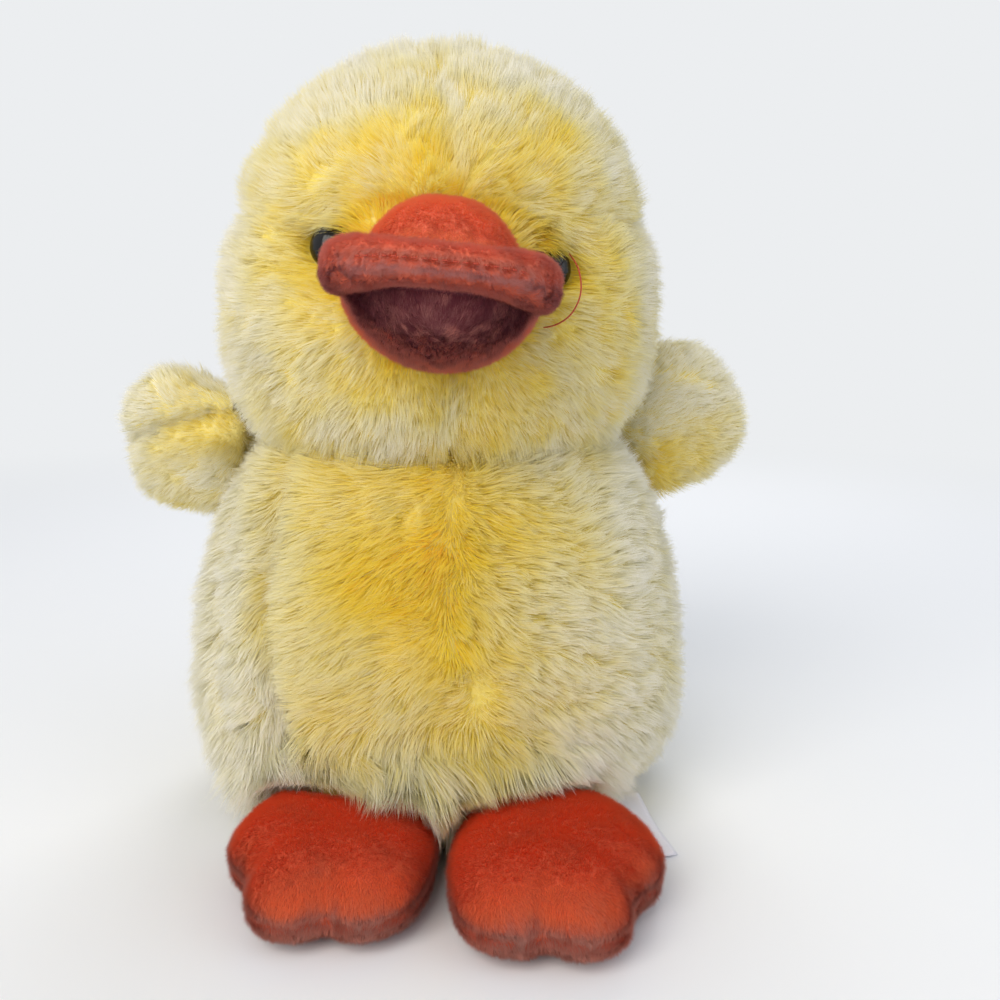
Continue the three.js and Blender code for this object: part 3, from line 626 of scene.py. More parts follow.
# Trunk
trunk = {
    "columns": 220, "rows": 120, "fill": 0.8, "floor": 1.0, "low": -5.9, "high": 115,
    "baseTop": 3, "neck": 111,  # heights between which the long pile grows
    "seamDepth": 1.0, "seamReach": 6,
    # Two creases in the right flank, as heights and degrees round from the front
    "creaseHeights": (20, 40, 65, 85, 110), "creaseTurn": (-36, -39, -45, -43, -49), "creaseDepth": 8.5,
    "creaseReach": 7, "foldTurn": (-50, -58, -66, -72, -74), "foldDepth": 5, "foldReach": 5,
}
sideAngle = math.acos((-body["sideSeam"] / body["frontDepth"]) ** (body["squareness"] / 2))
creaseAngles = np.radians(trunk["creaseTurn"])
trunkSeams = [([0], [turn], trunk["seamDepth"], trunk["seamReach"]) for turn in (0, math.pi, sideAngle, -sideAngle)]
trunkSeams.append((trunk["creaseHeights"], creaseAngles, trunk["creaseDepth"], trunk["creaseReach"]))
trunkSeams.append((trunk["creaseHeights"], np.radians(trunk["foldTurn"]), trunk["foldDepth"], trunk["foldReach"]))
trunkSkin = formSkin(body, trunkSeams, [], trunk["columns"], trunk["rows"], trunk["low"], trunk["high"])
trunkSkin["points"][:, 2] = np.maximum(trunkSkin["points"][:, 2], trunk["floor"])
combWander = Wander(22, 5)
toneWander = Wander(24, 6)


# How far a point is in front of the crease in the right flank
def pastCrease(x, y, z):
    turn = np.interp(z, trunk["creaseHeights"], creaseAngles)
    return x - power(np.sin(turn), 2 / body["squareness"]) * (body["halfWidth"] - skinDepth)


# How near a point is to the crease, from 0 to 1
def inCrease(points):
    x, y, z = points.T
    return np.exp(-pastCrease(x, y, z) ** 2 / (2 * trunk["creaseReach"] ** 2)) * (y < 0)


# Combed out from the parting and down, and straight down past the crease and at the low right
def trunkComb(points, normals):
    x, y, z = points.T
    side = np.clip((x - 2 + 3 * combWander(points) + rng.normal(0, 1.5, len(x))) / 5, -1, 1)
    around = unit(np.stack([-y, x, np.zeros_like(x)], -1)) * np.where(y < 0, side, np.sign(x))[:, None]
    turn = np.arctan2(np.abs(x), -y)
    lowRight = smoothStep(44, 24, z) * (x < 0) * smoothStep(-58, -40, x) * (y < 0)
    matted = np.where(x < 0, 0.35, 0.0) * smoothStep(30, 80, z)
    flank = smoothStep(2, -6, pastCrease(x, y, z)) * (y < 0)
    outShare = (1 - 0.8 * smoothStep(1.2, 2.5, turn)) * (1 - 2.0 * lowRight)
    downShare = 0.3 + 0.7 * smoothStep(70, 12, z) + 0.7 * smoothStep(1.0, 2.2, turn) + matted
    downShare = downShare + 0.25 * combWander(points) + 1.4 * flank
    return flatten(around * outShare[:, None] + np.outer(downShare, [0, 0, -1]), normals)


# How pale the trunk is: bright down the front and at the parting, pale at the sides and in the flank, where part of
# the paleness is a painted sheen on the bulge
def trunkTone(points):
    x, y, z = points.T
    frontal = smoothStep(-10, -45, y)
    glow = bell(x + 8, 27) * bell(z - 80, 30) * frontal
    parting = bell(x, 6) * frontal * smoothStep(10, 30, z)
    # Outside the crease the pile is paler: partly paler fur, partly a painted sheen on the bulge there
    flank = smoothStep(1, -5, pastCrease(x, y, z)) * (y < 0)
    back = smoothStep(-10, 20, y)
    tone = 0.68 + 0.3 * smoothStep(8, 55, x) + 0.26 * smoothStep(-48, -66, x) + 0.1 * smoothStep(40, 20, z)
    tone = tone - 0.42 * glow - 0.14 * parting + 0.07 * toneWander(points) + 0.26 * flank + 0.12 * inCrease(points)
    return np.maximum(tone * (1 - back) + (0.78 + 0.05 * toneWander(points)) * back, 0.24)


crease = inCrease(trunkSkin["points"])
raised = undercoat * smoothStep(2, 9, trunkSkin["points"][:, 2]) * (1 - 0.8 * crease)
coreObject("trunk_backing", trunkSkin, longPile, "body_stuffing", raised[:, None])

roots, normals = scatter(
    trunkSkin, longPile["density"], lambda p: (p[:, 2] > trunk["baseTop"]) & (p[:, 2] < trunk["neck"])
)
x, y, z = roots.T
parting = bell(x - 3, 7) * (y < 0)
matted = bell(x + 22, 26) * bell(z - 72, 32) * (y < 0)
low = smoothStep(42, 20, z) * smoothStep(-18, -32, y) * smoothStep(68, 52, -x) * smoothStep(52, 38, x)
nearLabel = bell(distance(roots, pivotOf("label")[0]), 17)
trunkCoat = coatOf(
    roots, normals, trunkComb(roots, normals), trunkTone(roots),
    length=1 - 0.2 * inCrease(roots) + 0.6 * low - 0.5 * nearLabel, lean=-14 * parting - 4 * matted - 14 * low,
    clump=1 - 0.6 * matted + 0.4 * smoothStep(2, 22, x) * (y < 0),
)
isLeft, isFront = x > 0, y < body["sideSeam"]
growPanels(trunkCoat, {
    "belly_left": isLeft & isFront, "belly_right": ~isLeft & isFront,
    "back_left": isLeft & ~isFront, "back_right": ~isLeft & ~isFront,
}, longPile, lift=overFeet)

# The base panel: the same cloth, its pile pressed flat by the seat
basePile = {**longPile, "length": 7, "lean": (70, 88), "density": 2, "floor": 0.2, "slot": "base_cloth"}
roots, normals = scatter(trunkSkin, basePile["density"], lambda p: p[:, 2] <= trunk["baseTop"])
growPile("base_panel", coatOf(roots, normals, flatten(roots * [1, 1, 0] + [0, 0.1, 0], normals), 0.6), basePile)
print("trunk made")

# Head
headLook = {
    "columns": 200, "rows": 110, "low": -1, "high": 112, "fill": 0.85,
    "seamDepth": 2.6, "seamReach": 6, "eyeSeamDepth": 3.2, "eyeSeamReach": 6,
}
headSeams = [([0], [turn], headLook["seamDepth"], headLook["seamReach"]) for turn in (0, math.pi)]
eyeSeams = [(head["eyeSeam"], headLook["eyeSeamDepth"], headLook["eyeSeamReach"])]
headSkin = formSkin(
    head, headSeams, eyeSeams, headLook["columns"], headLook["rows"], headLook["low"], headLook["high"] - skinDepth
)
face = {
    "height": 44, "shift": -1.5, "roll": 5.5, "turn": -4,
    "ring": (29, 23, 2),  # half width, half height and rise of the ring round the bill, inside which the pile is painted orange as light thrown onto it by the bill
    "bare": (18, 16, -1), "depth": 30,  # the same where no fibre grows, and how far behind the face this goes
}
faceTurn = turnMatrix(0, face["roll"], face["turn"])
facePlace = np.array([face["shift"], -head["frontDepth"], head["base"] + face["height"]])
eye = {
    "radius": 5.5, "domeHeight": 4.2, "rimHeight": 1, "edgeWidth": 0.4, "edgeHeight": 0.3, "shankRadius": 1.7,
    "shankLength": 13, "spread": 28.5, "rise": 6, "columns": 48, "domeRows": 16,
    "brow": 8,  # how far over the eye the pile hangs from
    "searchTurn": 1.4, "searchSteps": 4000, "searchStep": 0.01,  # radians round the head, to find its seat
}


def onFace(points):
    return points @ faceTurn.T + facePlace


def inFace(points):
    return (points - facePlace) @ faceTurn


# Where an eye's back lies on the backing, and which way it faces
def eyeSeat(side):
    across, _, height = onFace(np.array([[side * eye["spread"], 0, eye["rise"]]]))[0]
    rise = riseAt(head, height - head["base"], skinDepth)
    angles = side * np.linspace(0, eye["searchTurn"], eye["searchSteps"])
    line = formPoint(head, angles, np.full(len(angles), rise), skinDepth)
    found = angles[np.argmax(line[:, 0] * side >= across * side)]
    beside, above = found + eye["searchStep"], rise + eye["searchStep"]
    near = formPoint(head, np.array([found, beside, found]), np.array([rise, rise, above]), skinDepth)
    facing = unit(np.cross(near[1] - near[0], near[2] - near[0]))
    return near[0], facing


eyeSeats = {"left": eyeSeat(1), "right": eyeSeat(-1)}
# The eyes' shanks draw the cloth in
raised = np.full(len(headSkin["points"]), undercoat)
for seat, facing in eyeSeats.values():
    raised *= smoothStep(5, 11, distance(headSkin["points"], seat))
coreObject("head_backing", headSkin, headPile, "head_stuffing", raised[:, None])


# Combed away from the bill, down at the sides and behind, and over the tops of the eyes
def headComb(points, normals):
    away = points - (facePlace + [0, 14, -4])
    down = smoothStep(-5, 45, points[:, 1]) * 1.2 + 0.3 * smoothStep(160, 130, points[:, 2])
    field = unit(away) + np.outer(down, [0, 0.1, -1])
    field = field + 0.3 * combWander(points)[:, None] * np.cross(normals, unit(away))
    for seat, facing in eyeSeats.values():
        aside = points - seat
        near = bell(np.linalg.norm(aside, axis=1), 7) * smoothStep(3, -3, aside[:, 2])
        brow = bell(distance(aside, [0, 0, eye["brow"]]), 8)
        field = field + 0.4 * near[:, None] * unit(aside)
        field = field + 3 * brow[:, None] * [0.4 * np.sign(seat[0]), 0, -1]
    return flatten(field, normals)


patchWander = Wander(10, 8)


# 1 on that ring round the bill, more outside it
def ringShare(spot, ring):
    halfWidth, halfHeight, rise = face[ring]
    return np.sqrt((spot[:, 0] / halfWidth) ** 2 + ((spot[:, 2] - rise) / halfHeight) ** 2)


# How pale the head is: painted orange light from the bill close round it, yellow round that, pale at the rim and
# behind
def headTone(points):
    spot = inFace(points)
    ring = ringShare(spot, "ring")
    # Painted light: the orange that the bill throws onto the pile just round it
    glow = smoothStep(1.05, 0.75, ring) * (spot[:, 1] < face["depth"])
    rim = smoothStep(35, 60, np.abs(points[:, 0])) + smoothStep(186, 214, points[:, 2])
    back = smoothStep(-10, 25, points[:, 1])
    wander = (0.1 * toneWander(points) + 0.07 * patchWander(points)) * (1 - 0.8 * back)
    tone = 0.66 + 0.22 * rim * (1 - 0.5 * back) + 0.2 * back + wander
    return np.maximum(tone - 0.2 * smoothStep(1.9, 1.1, ring) * smoothStep(50, 20, spot[:, 1]), 0.22) - 0.25 * glow


roots, normals = scatter(headSkin, headPile["density"], lambda p: p[:, 2] > head["base"] + 1)
spot = inFace(roots)
clear = (ringShare(spot, "bare") > 1) | (spot[:, 1] > face["depth"])
for seat, facing in eyeSeats.values():
    clear &= distance(roots, seat) > eye["radius"]
roots, normals, spot = roots[clear], normals[clear], spot[clear]
isCrown = roots[:, 2] > head["base"] + head["eyeSeam"]
isLeft = roots[:, 0] > 0
nearBill = smoothStep(1.4, 0.8, ringShare(spot, "ring")) * (spot[:, 1] < face["depth"])
brow = sum(bell(distance(roots, seat + [0, 0, eye["brow"]]), 7) for seat, facing in eyeSeats.values())
headCoat = coatOf(
    roots, normals, headComb(roots, normals), headTone(roots),
    length=1 + 0.2 * brow, lean=20 * brow - 8 * nearBill + 16 * smoothStep(-5, 30, roots[:, 1]),
)
growPanels(headCoat, {
    "crown_left": isCrown & isLeft, "crown_right": isCrown & ~isLeft,
    "cheek_left": ~isCrown & isLeft, "cheek_right": ~isCrown & ~isLeft,
}, headPile)

# Moulded acrylic safety eyes, polished black: the lamps show in them as small sharp lights
eyeBlack = patternMaterial(
    "mouldedAcrylicBlack", "#0b090b", 0.05, 1.49, ("TexNoise", {"Scale": 700, "Detail": 2}),
    [(0.3, "#080708"), (0.8, "#141013")], (0.03, 0.0002), placed=False, Specular_IOR_Level=0.35,
)


def lathe(profile, columns):
    turn = np.linspace(0, 2 * math.pi, columns, endpoint=False)
    rings = np.array([[[r * math.sin(a), -h, -r * math.cos(a)] for a in turn] for r, h in profile[1:-1]])
    ends = [np.array([0, -profile[i][1], 0.0]) for i in (0, -1)]
    return ringSkin(rings, *ends)


def facingTurn(facing):
    return np.array(Vector((0, -1, 0)).rotation_difference(Vector(facing)).to_matrix())


for name, (seat, facing) in eyeSeats.items():
    shank, edge = eye["shankRadius"], eye["edgeHeight"]
    profile = [(0, -eye["shankLength"]), (shank, -eye["shankLength"]), (shank, -edge)]
    profile += [(eye["radius"] - eye["edgeWidth"], 0), (eye["radius"], edge), (eye["radius"], eye["rimHeight"])]
    for step in np.linspace(0, math.pi / 2, eye["domeRows"])[1:-1]:
        profile.append((eye["radius"] * math.cos(step), eye["rimHeight"] + eye["domeHeight"] * math.sin(step)))
    profile.append((0, eye["rimHeight"] + eye["domeHeight"]))
    skin = moveSkin(lathe(profile, eye["columns"]), facingTurn(facing), seat)
    made = skinObject(f"eye_{name}_button", skin, eyeBlack, "torso")
    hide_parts(f"eye_{name}")

# Bill: a domed top with a puffed lip, over a round pouch
billTop = {
    "halfWidth": 29, "reach": 36, "rootHalfWidth": 21, "rootDepth": 13, "domeHeight": 21, "lipHeight": 5.6,
    "upturn": 3.5, "columns": 300, "rows": 100, "seamDepth": 1.3, "seamReach": 1.1,
    "endPuff": 0.3,  # how much fuller the lip is at its ends
    "puckerPitch": 4.5, "pucker": 0.45,  # gathers that the stitches draw along the seam
    "puckerEnds": (16, 25), "endPuckers": 0.25, "puffEnds": (10, 27),  # where both change, from the middle
    "seamFrom": 0.9, "rootCorner": 0.98,  # shares of the outline's reach and of the root's half width
    "lipShares": [(1, 0.36), (0.9, 0.7), (0.52, 0.95)],
    "topShares": [
        (0, 1, 0), (0.26, 0.93, 0), (0.44, 0.76, 0), (0.58, 0.5, 0.05),
        (0.66, 0.16, 0.5), (0.76, 0, 0.9), (0.88, 0, 1), (0.97, 0, 0.62),
    ],
    "underShares": [(0.98, 0, -0.62), (0.9, 0, -1), (0.7, 0, -0.9), (0.35, 0, -0.8), (0, 0, -0.75)],
}
billUnder = {"halfWidth": 26, "reach": 29, "drop": 23, "columns": 140, "rows": 60, "topAngle": -0.1}
# Short dyed polyester plush: bright orange on the dome, dusty pink on the lip, and dark wine on the pouch, where that
# colour is painted shade from the lip
billOrange = pileMaterial(
    "polyesterPlushOrange",
    [(0.0, "#ff8c58"), (0.35, "#ec866a"), (0.7, "#cc7a70"), (1.0, "#682232")],
    [(0.0, "#ffa472"), (0.35, "#f49c82"), (0.7, "#dc978e"), (1.0, "#7a3242")],
    (0.1, 0.9), 0.85, 0.12, "#ffe0d8", 0.35,
)
# The backing is coloured darker than the pile's roots, as painted shade where the fibres part
billBacking = backingMaterial("knitBackingOrange", "#d8684a", "#e07456", 1200, 0.9)
# The pouch's backing is painted dark too, as the shade under the lip
pouchBacking = backingMaterial("knitBackingOrangePaintedShade", "#561e28", "#62242e", 1200, 0.9)
shortPile = {
    "material": billOrange, "backing": billBacking, "slot": "bill_plush", "length": 2.1, "lengthSpread": 0.12,
    "shortShare": 0.25, "density": 44, "lean": (50, 50), "leanSpread": 8, "swing": 14, "wave": 0,
    "toneSpread": 0.05, "width": 0.11,
    "locks": [{"spacing": 1.3, "pull": 0.12, "lean": 3, "swing": 8, "tone": 0.03}],
    "taper": (1.0,), "roll": 6, "rows": 1, "softness": 0.94, "floor": 0.2,
}
pouchPile = {
    **shortPile, "backing": pouchBacking, "length": 2.5, "toneSpread": 0.08,
    "locks": [{"spacing": 1.6, "pull": 0.2, "lean": 4, "swing": 12, "tone": 0.05}],
}


def billOutline():
    root, depth = billTop["rootHalfWidth"], billTop["rootDepth"]
    points = [(0, depth), (billTop["rootCorner"] * root, depth), (root, 0)]
    points += [(a * billTop["halfWidth"], -b * billTop["reach"]) for a, b in billTop["lipShares"]]
    points.append((0, -billTop["reach"]))
    return smoothOutline(points + [(-x, y) for x, y in points[-2:0:-1]], billTop["columns"])


# How far the lip has turned up at that depth of the face
def lipRise(y):
    return billTop["upturn"] * np.maximum(0, -y / billTop["reach"]) ** 2


def billRings(inset):
    edge = billOutline()
    length = np.linalg.norm(edge, axis=1, keepdims=True)
    profile = openCurve(billTop["topShares"] + [(1, 0, 0)] + billTop["underShares"], billTop["rows"])[::-1]
    lipHeight, domeHeight = billTop["lipHeight"], billTop["domeHeight"]
    rings = []
    travel = np.cumsum(np.linalg.norm(np.roll(edge, -1, 0) - edge, axis=1))
    gather = 1 + billTop["pucker"] * np.cos(2 * math.pi * travel / billTop["puckerPitch"])
    fade = 1 - (1 - billTop["endPuckers"]) * smoothStep(*billTop["puckerEnds"], np.abs(edge[:, 0]))
    puff = 1 + billTop["endPuff"] * smoothStep(*billTop["puffEnds"], np.abs(edge[:, 0]))
    for share, dome, lip in profile[1:-1]:
        seam = billTop["seamDepth"] * bell(lip * lipHeight, billTop["seamReach"]) * (share > billTop["seamFrom"])
        drawn = inset + seam * gather * fade
        flat = edge / length * (length - drawn[:, None]) * share
        height = dome * (domeHeight - inset) + lip * (lipHeight - inset) * puff
        rings.append(np.column_stack([flat, height + lipRise(edge[:, 1] * share)]))
    under = np.array([0, 0, profile[0][2] * (lipHeight - inset)])
    return ringSkin(np.array(rings), under, np.array([0, 0, domeHeight - inset]))


def pouchRings(inset):
    levels = np.linspace(-math.pi / 2, billUnder["topAngle"], billUnder["rows"])[1:]
    turn = np.linspace(0, 2 * math.pi, billUnder["columns"], endpoint=False)
    a, b, c = (billUnder[k] - inset for k in ("halfWidth", "reach", "drop"))
    rings = np.array([
        np.column_stack([a * math.cos(v) * np.sin(turn), -b * math.cos(v) * np.cos(turn), 0 * turn + c * math.sin(v)])
        for v in levels
    ])
    return ringSkin(rings, np.array([0, 0, -c]), np.array([0, 0, c * math.sin(levels[-1])]))


billInset = 1.2
billSkin = moveSkin(billRings(billInset), faceTurn, facePlace)
coreObject("bill_upper_backing", billSkin, shortPile, "bill_upper_stuffing")
pouchSkin = moveSkin(pouchRings(billInset), faceTurn, facePlace)
coreObject("bill_lower_backing", pouchSkin, pouchPile, "bill_lower_stuffing")
billWander = Wander(7, 11)
pouchWhorl = np.array([0, -29, -16])


# Orange on the dome, dusty pink on the lip and darker on its lower half. The pouch is painted dark as the shade under
# the lip, with painted light at its sides, most on the left, and towards its foot
def billTone(points, isPouch=False):
    spot = inFace(points)
    x, y, z = spot.T
    if isPouch:
        # Painted light on the pouch: paler at its sides and towards its foot, against the painted shade of the rest
        edge = smoothStep(0.62, 0.95, np.sqrt((x / 25) ** 2 + ((z + 1) / 22) ** 2))
        bright = 0.15 + 0.5 * smoothStep(-8, -20, x) + 0.25 * smoothStep(10, 20, x)
        paintedLightBelow = 0.24 * smoothStep(-6, -17, z)
        return 0.96 - bright * edge * smoothStep(-14, -2, y) - paintedLightBelow + 0.05 * billWander(points)
    height = z - lipRise(y)
    onDome = smoothStep(5.5, 8, height)
    lip = 0.42 + 0.28 * smoothStep(1.5, -1.5, height) + 0.12 * smoothStep(12, 26, np.abs(x))
    return lip * (1 - onDome) + 0.05 * onDome + 0.04 * billWander(points)


# Combed forwards and down, and on the pouch towards its whorl
def billComb(points, normals, isPouch=False):
    spot = inFace(points)
    if isPouch:
        return flatten((pouchWhorl - spot) @ faceTurn.T + 2 * billWander(points)[:, None], normals)
    forward = np.column_stack([0.6 * spot[:, 0], -20 + 0 * spot[:, 0], -10 - 0.3 * spot[:, 2]])
    aside = 0.3 * billWander(points)[:, None] * np.cross(normals, [0, -1, 0])
    return flatten(unit(forward @ faceTurn.T) + aside, normals)


billRoot = {"behind": 4, "pouchTop": -3}  # no fibres grow past these, where the bill meets the face and itself
roots, normals = scatter(billSkin, shortPile["density"], lambda p: inFace(p)[:, 1] < billRoot["behind"])
spot = inFace(roots)
over = spot[:, 2] > lipRise(spot[:, 1])
coat = coatOf(roots, normals, billComb(roots, normals), billTone(roots))
growPanels(coat, {"bill_upper_top": over, "bill_upper_underside": ~over}, shortPile)
roots, normals = scatter(
    pouchSkin, pouchPile["density"],
    lambda p: (inFace(p)[:, 1] < billRoot["behind"]) & (inFace(p)[:, 2] < billRoot["pouchTop"]),
)
growPile("bill_lower", coatOf(roots, normals, billComb(roots, normals, True), billTone(roots, True)), pouchPile)
print("bill made")

# Stitches along the lip's seam, in polyester thread: its twist shows as fine darker bands
stitch = {
    "pitch": 2.25, "length": 1.5, "radius": 0.24, "reach": 20, "sides": 8, "sink": 1.0,
    "shape": [(-0.85, 0.6), (-0.5, 1), (0.5, 1), (0.85, 0.6)],  # along its half length, and share of its radius
}
threadRed = patternMaterial(
    "polyesterThreadRed", "#a8321c", 0.6, 1.5, ("TexWave", {"Scale": 900, "Distortion": 1}),
    [(0.2, "#8c2a18"), (0.8, "#c4472a")],
)


def capsule(start, end, radius, sides):
    middle, run = (start + end) / 2, unit(end - start)
    across = unit(np.cross(run, [0.1, 0.2, 1]))
    upward = np.cross(run, across)
    half = np.linalg.norm(end - start) / 2
    turn = np.linspace(0, 2 * math.pi, sides, endpoint=False)
    rings = []
    for along, wide in stitch["shape"]:
        circle = np.outer(np.cos(turn), across) + np.outer(np.sin(turn), upward)
        rings.append(middle + run * along * half + circle * radius * wide)
    return ringSkin(np.array(rings), middle - run * half, middle + run * half)


def joinSkins(skins):
    shift = np.cumsum([0] + [len(s["points"]) for s in skins[:-1]])
    return {
        "points": np.concatenate([s["points"] for s in skins]),
        "quads": np.concatenate([s["quads"] + k for s, k in zip(skins, shift)]),
        "fans": np.concatenate([s["fans"] + k for s, k in zip(skins, shift)]),
    }


edge = billOutline()
edge = edge[(np.abs(edge[:, 0]) < stitch["reach"]) & (edge[:, 1] < 0)]
edge = edge[np.argsort(edge[:, 0])]
length = np.linalg.norm(edge, axis=1, keepdims=True)
line = np.column_stack([edge * (length - stitch["sink"]) / length, lipRise(edge[:, 1:])])
travel = np.concatenate([[0], np.cumsum(np.linalg.norm(np.diff(line, axis=0), axis=1))])
at = np.arange(0, travel[-1] - stitch["length"], stitch["pitch"])
starts = np.column_stack([np.interp(at, travel, line[:, k]) for k in range(3)])
ends = np.column_stack([np.interp(at + stitch["length"], travel, line[:, k]) for k in range(3)])
skins = [capsule(a, b, stitch["radius"], stitch["sides"]) for a, b in zip(onFace(starts), onFace(ends))]
skinObject("bill_stitches", joinSkins(skins), threadRed, "torso")

# Limbs
press = {"angles": 8, "least": 0.05}  # angles that a limb is tried at, and the least share of a form's reach


# Presses points out of a form, wherever the limb turns to about its seam
def pressOut(points, form, inset, pivot, axis, limits):
    for angle in np.linspace(*limits, press["angles"]):
        turn = rotation(axis, angle)
        moved = (points - pivot) @ turn.T + pivot
        height = moved[:, 2] - form["base"] - form["widest"]
        up = height >= 0
        reach = np.where(up, form["reachUp"], form["reachDown"])
        fullness = np.where(up, form["topFullness"], form["bottomFullness"])
        share = np.clip(np.abs(height) / reach, 0, 1) ** (fullness / 2)
        spread = np.sqrt(1 - share**2) ** (2 / fullness)
        spread = spread * (1 - form["taper"] * np.maximum(0, height / form["reachUp"]))
        middle = form["lean"] * (form["widest"] + height)
        depth = np.where(moved[:, 1] < 0, form["frontDepth"], form["backDepth"]) - inset
        wide = np.abs(moved[:, 0] - middle) / (form["halfWidth"] - inset)
        corner = form["squareness"]
        ring = (wide**corner + (np.abs(moved[:, 1]) / depth) ** corner) ** (1 / corner)
        inside = (ring < spread) & (height > -form["widest"]) & (ring > press["least"])
        grow = np.where(inside, spread / np.maximum(ring, press["least"]), 1)
        moved[:, 0] = middle + (moved[:, 0] - middle) * grow
        moved[:, 1] *= grow
        points = (moved - pivot) @ turn + pivot
    return points


def rotation(axis, degrees):
    x, y, z = axis
    c, s = math.cos(math.radians(degrees)), math.sin(math.radians(degrees))
    cross = np.array([[0, -z, y], [z, 0, -x], [-y, x, 0]])
    return np.eye(3) * c + cross * s + np.outer(axis, axis) * (1 - c)


# Sews a limb on: presses it clear of the forms beside it, shows its core and scatters its roots
def sewOn(bodyName, piece, skin, turn):
    pivot, axis, limits = pivotOf(bodyName)
    moveSkin(skin, turn, pivot)
    for form in piece["beside"]:
        skin["points"] = pressOut(skin["points"], form, piece["pressDepth"], pivot, axis, piece.get("press", limits))
    skin["normals"] = skinNormals(skin["points"], skin["triangles"])
    core, stuffing = f"{bodyName}_backing", f"{bodyName}_stuffing"
    coreObject(core, skin, piece["pile"], stuffing, piece["raised"], bodyName)
    roots, normals = scatter(skin, piece["pile"]["density"])
    return roots, normals, (roots - pivot) @ turn


wing = {
    "length": 47, "width": 53, "over": 12.5, "under": 12.5, "fullness": 2.7, "columns": 140, "rows": 70,
    "inset": wingSkinDepth, "raised": wingUndercoat, "fill": 0.7, "pile": wingPile,
    "outline": [
        (-0.02, 0), (0, 0.34), (0.26, 0.46), (0.6, 0.5), (0.88, 0.36), (1, 0),
        (0.88, -0.36), (0.6, -0.5), (0.26, -0.46), (0, -0.34),
    ],
    "groove": 2.2, "grooveReach": 2.8, "combOut": 30.0, "combSpread": 0.8, "combDown": -8,
    "beside": (head, body), "pressDepth": skinDepth - 2, "press": (-8, 8),  # degrees that it is kept clear for
    # Seam across the front of the right wing, outwards from the root: it lies above the middle
    "seamAcross": [(0, 15), (12, 14), (24, 9), (36, 1), (47, -8)], "seamDepth": 4.2, "seamReach": 3.2,
    "pose": {"left": {"raise": 32, "sweep": 6, "twist": 6}, "right": {"raise": 12, "sweep": 22, "twist": 20}},
}


def aboveSeam(x, y):
    outwards, height = np.array(wing["seamAcross"], float).T
    return y - np.interp(x, outwards, height)


for side, name in ((1, "left"), (-1, "right")):
    pose = wing["pose"][name]
    turn = turnMatrix(90 + side * pose["twist"], -pose["raise"], (0 if side > 0 else 180) + side * pose["sweep"])
    skin = pillowSkin(wing, pieceOutline(wing), np.array([wing["length"] / 2, 0]))
    if side < 0:
        x, y, z = skin["points"].T
        dip = wing["seamDepth"] * bell(aboveSeam(x, y), wing["seamReach"])
        skin["points"][:, 2] = np.where(z < 0, np.minimum(z + dip, 0), z)
    roots, normals, local = sewOn(f"wing_{name}", wing, skin, turn)
    x, y, z = local.T
    outwards = np.column_stack([0 * x + wing["combOut"], y * wing["combSpread"], 0 * z])
    comb = flatten(outwards @ turn.T + [0, 0, wing["combDown"]], normals)
    front = side * z > 0
    deep = smoothStep(26, 6, x) * smoothStep(10, -8, y) * np.where(front, 1, 0.3)
    tone = 0.8 + 0.2 * smoothStep(18, 42, x) + 0.36 * smoothStep(-8, 12, y) - 0.34 * deep
    if side < 0:
        above = aboveSeam(x, y)
        seamEdge = smoothStep(-1, 2, above) * smoothStep(12, 5, above)
        tone = np.where(front, 0.68 + 0.24 * smoothStep(18, 40, x) + 0.4 * seamEdge, tone)
    tone = np.maximum(tone + 0.1 * toneWander(roots) + 0.06 * patchWander(roots), 0.24)
    up, down = ("front", "rear") if side > 0 else ("rear", "front")
    panels = {f"wing_{name}_{up}": z > 0, f"wing_{name}_{down}": z <= 0}
    growPanels(coatOf(roots, normals, comb, tone), panels, wingPile, f"wing_{name}")
print("wings made")

# Short dyed polyester plush, red-orange, brushed forwards; where it turns down from the top, on the walls and sole,
# it is coloured dusty mauve as a painted sheen and shade
footOrange = pileMaterial(
    "polyesterPlushRedOrange",
    [(0.0, "#f06636"), (0.35, "#e66e44"), (0.7, "#bc6250"), (1.0, "#a05c54")],
    [(0.0, "#fc7442"), (0.35, "#f48054"), (0.7, "#d48674"), (1.0, "#c89486")],
    (0.1, 0.9), 0.85, 0.12, "#ffd8c8", 0.35,
)
# The backing is coloured darker than the pile's roots, as painted shade where the fibres part
footBacking = backingMaterial("knitBackingRedOrange", "#c45030", "#cc5a38", 1200, 0.9)
footPile = {
    **shortPile, "material": footOrange, "backing": footBacking, "slot": "foot_plush", "length": 2.8, "density": 30,
    "leanSpread": 7, "swing": 9, "width": 0.12, "toneSpread": 0.06,
    "locks": [{"spacing": 2, "pull": 0.12, "lean": 3, "swing": 5, "tone": 0.025}],
}
# The rest of the foot's values, which need its pile
foot.update(fill=0.8, raised=None, pile=footPile, beside=(body,), pressDepth=4)
footWander = Wander(12, 17)
for side, name in ((1, "left"), (-1, "right")):
    pose = foot["pose"][name]
    turn = turnMatrix(0, 0, side * pose["splay"])
    middle = np.array([0, pose["tuck"] - foot["length"] / 2])
    skin = pillowSkin(foot, pieceOutline(foot, True, side) + [0, pose["tuck"]], middle)
    roots, normals, local = sewOn(f"foot_{name}", foot, skin, turn)
    aside = 0.15 * footWander(roots)[:, None] * np.cross(normals, [0, -1, 0])
    comb = flatten(np.array([0, -1, -0.35]) + aside, normals)
    # Painted sheen and shade: dusty mauve wherever the foot turns away from facing up
    tone = 0.28 + 0.57 * smoothStep(0.75, 0.05, normals[:, 2]) + 0.05 * footWander(roots)
    panels = {f"foot_{name}_top": local[:, 2] > 0, f"foot_{name}_sole": local[:, 2] <= 0}
    growPanels(coatOf(roots, normals, comb, tone), panels, footPile, f"foot_{name}")
print("feet made")

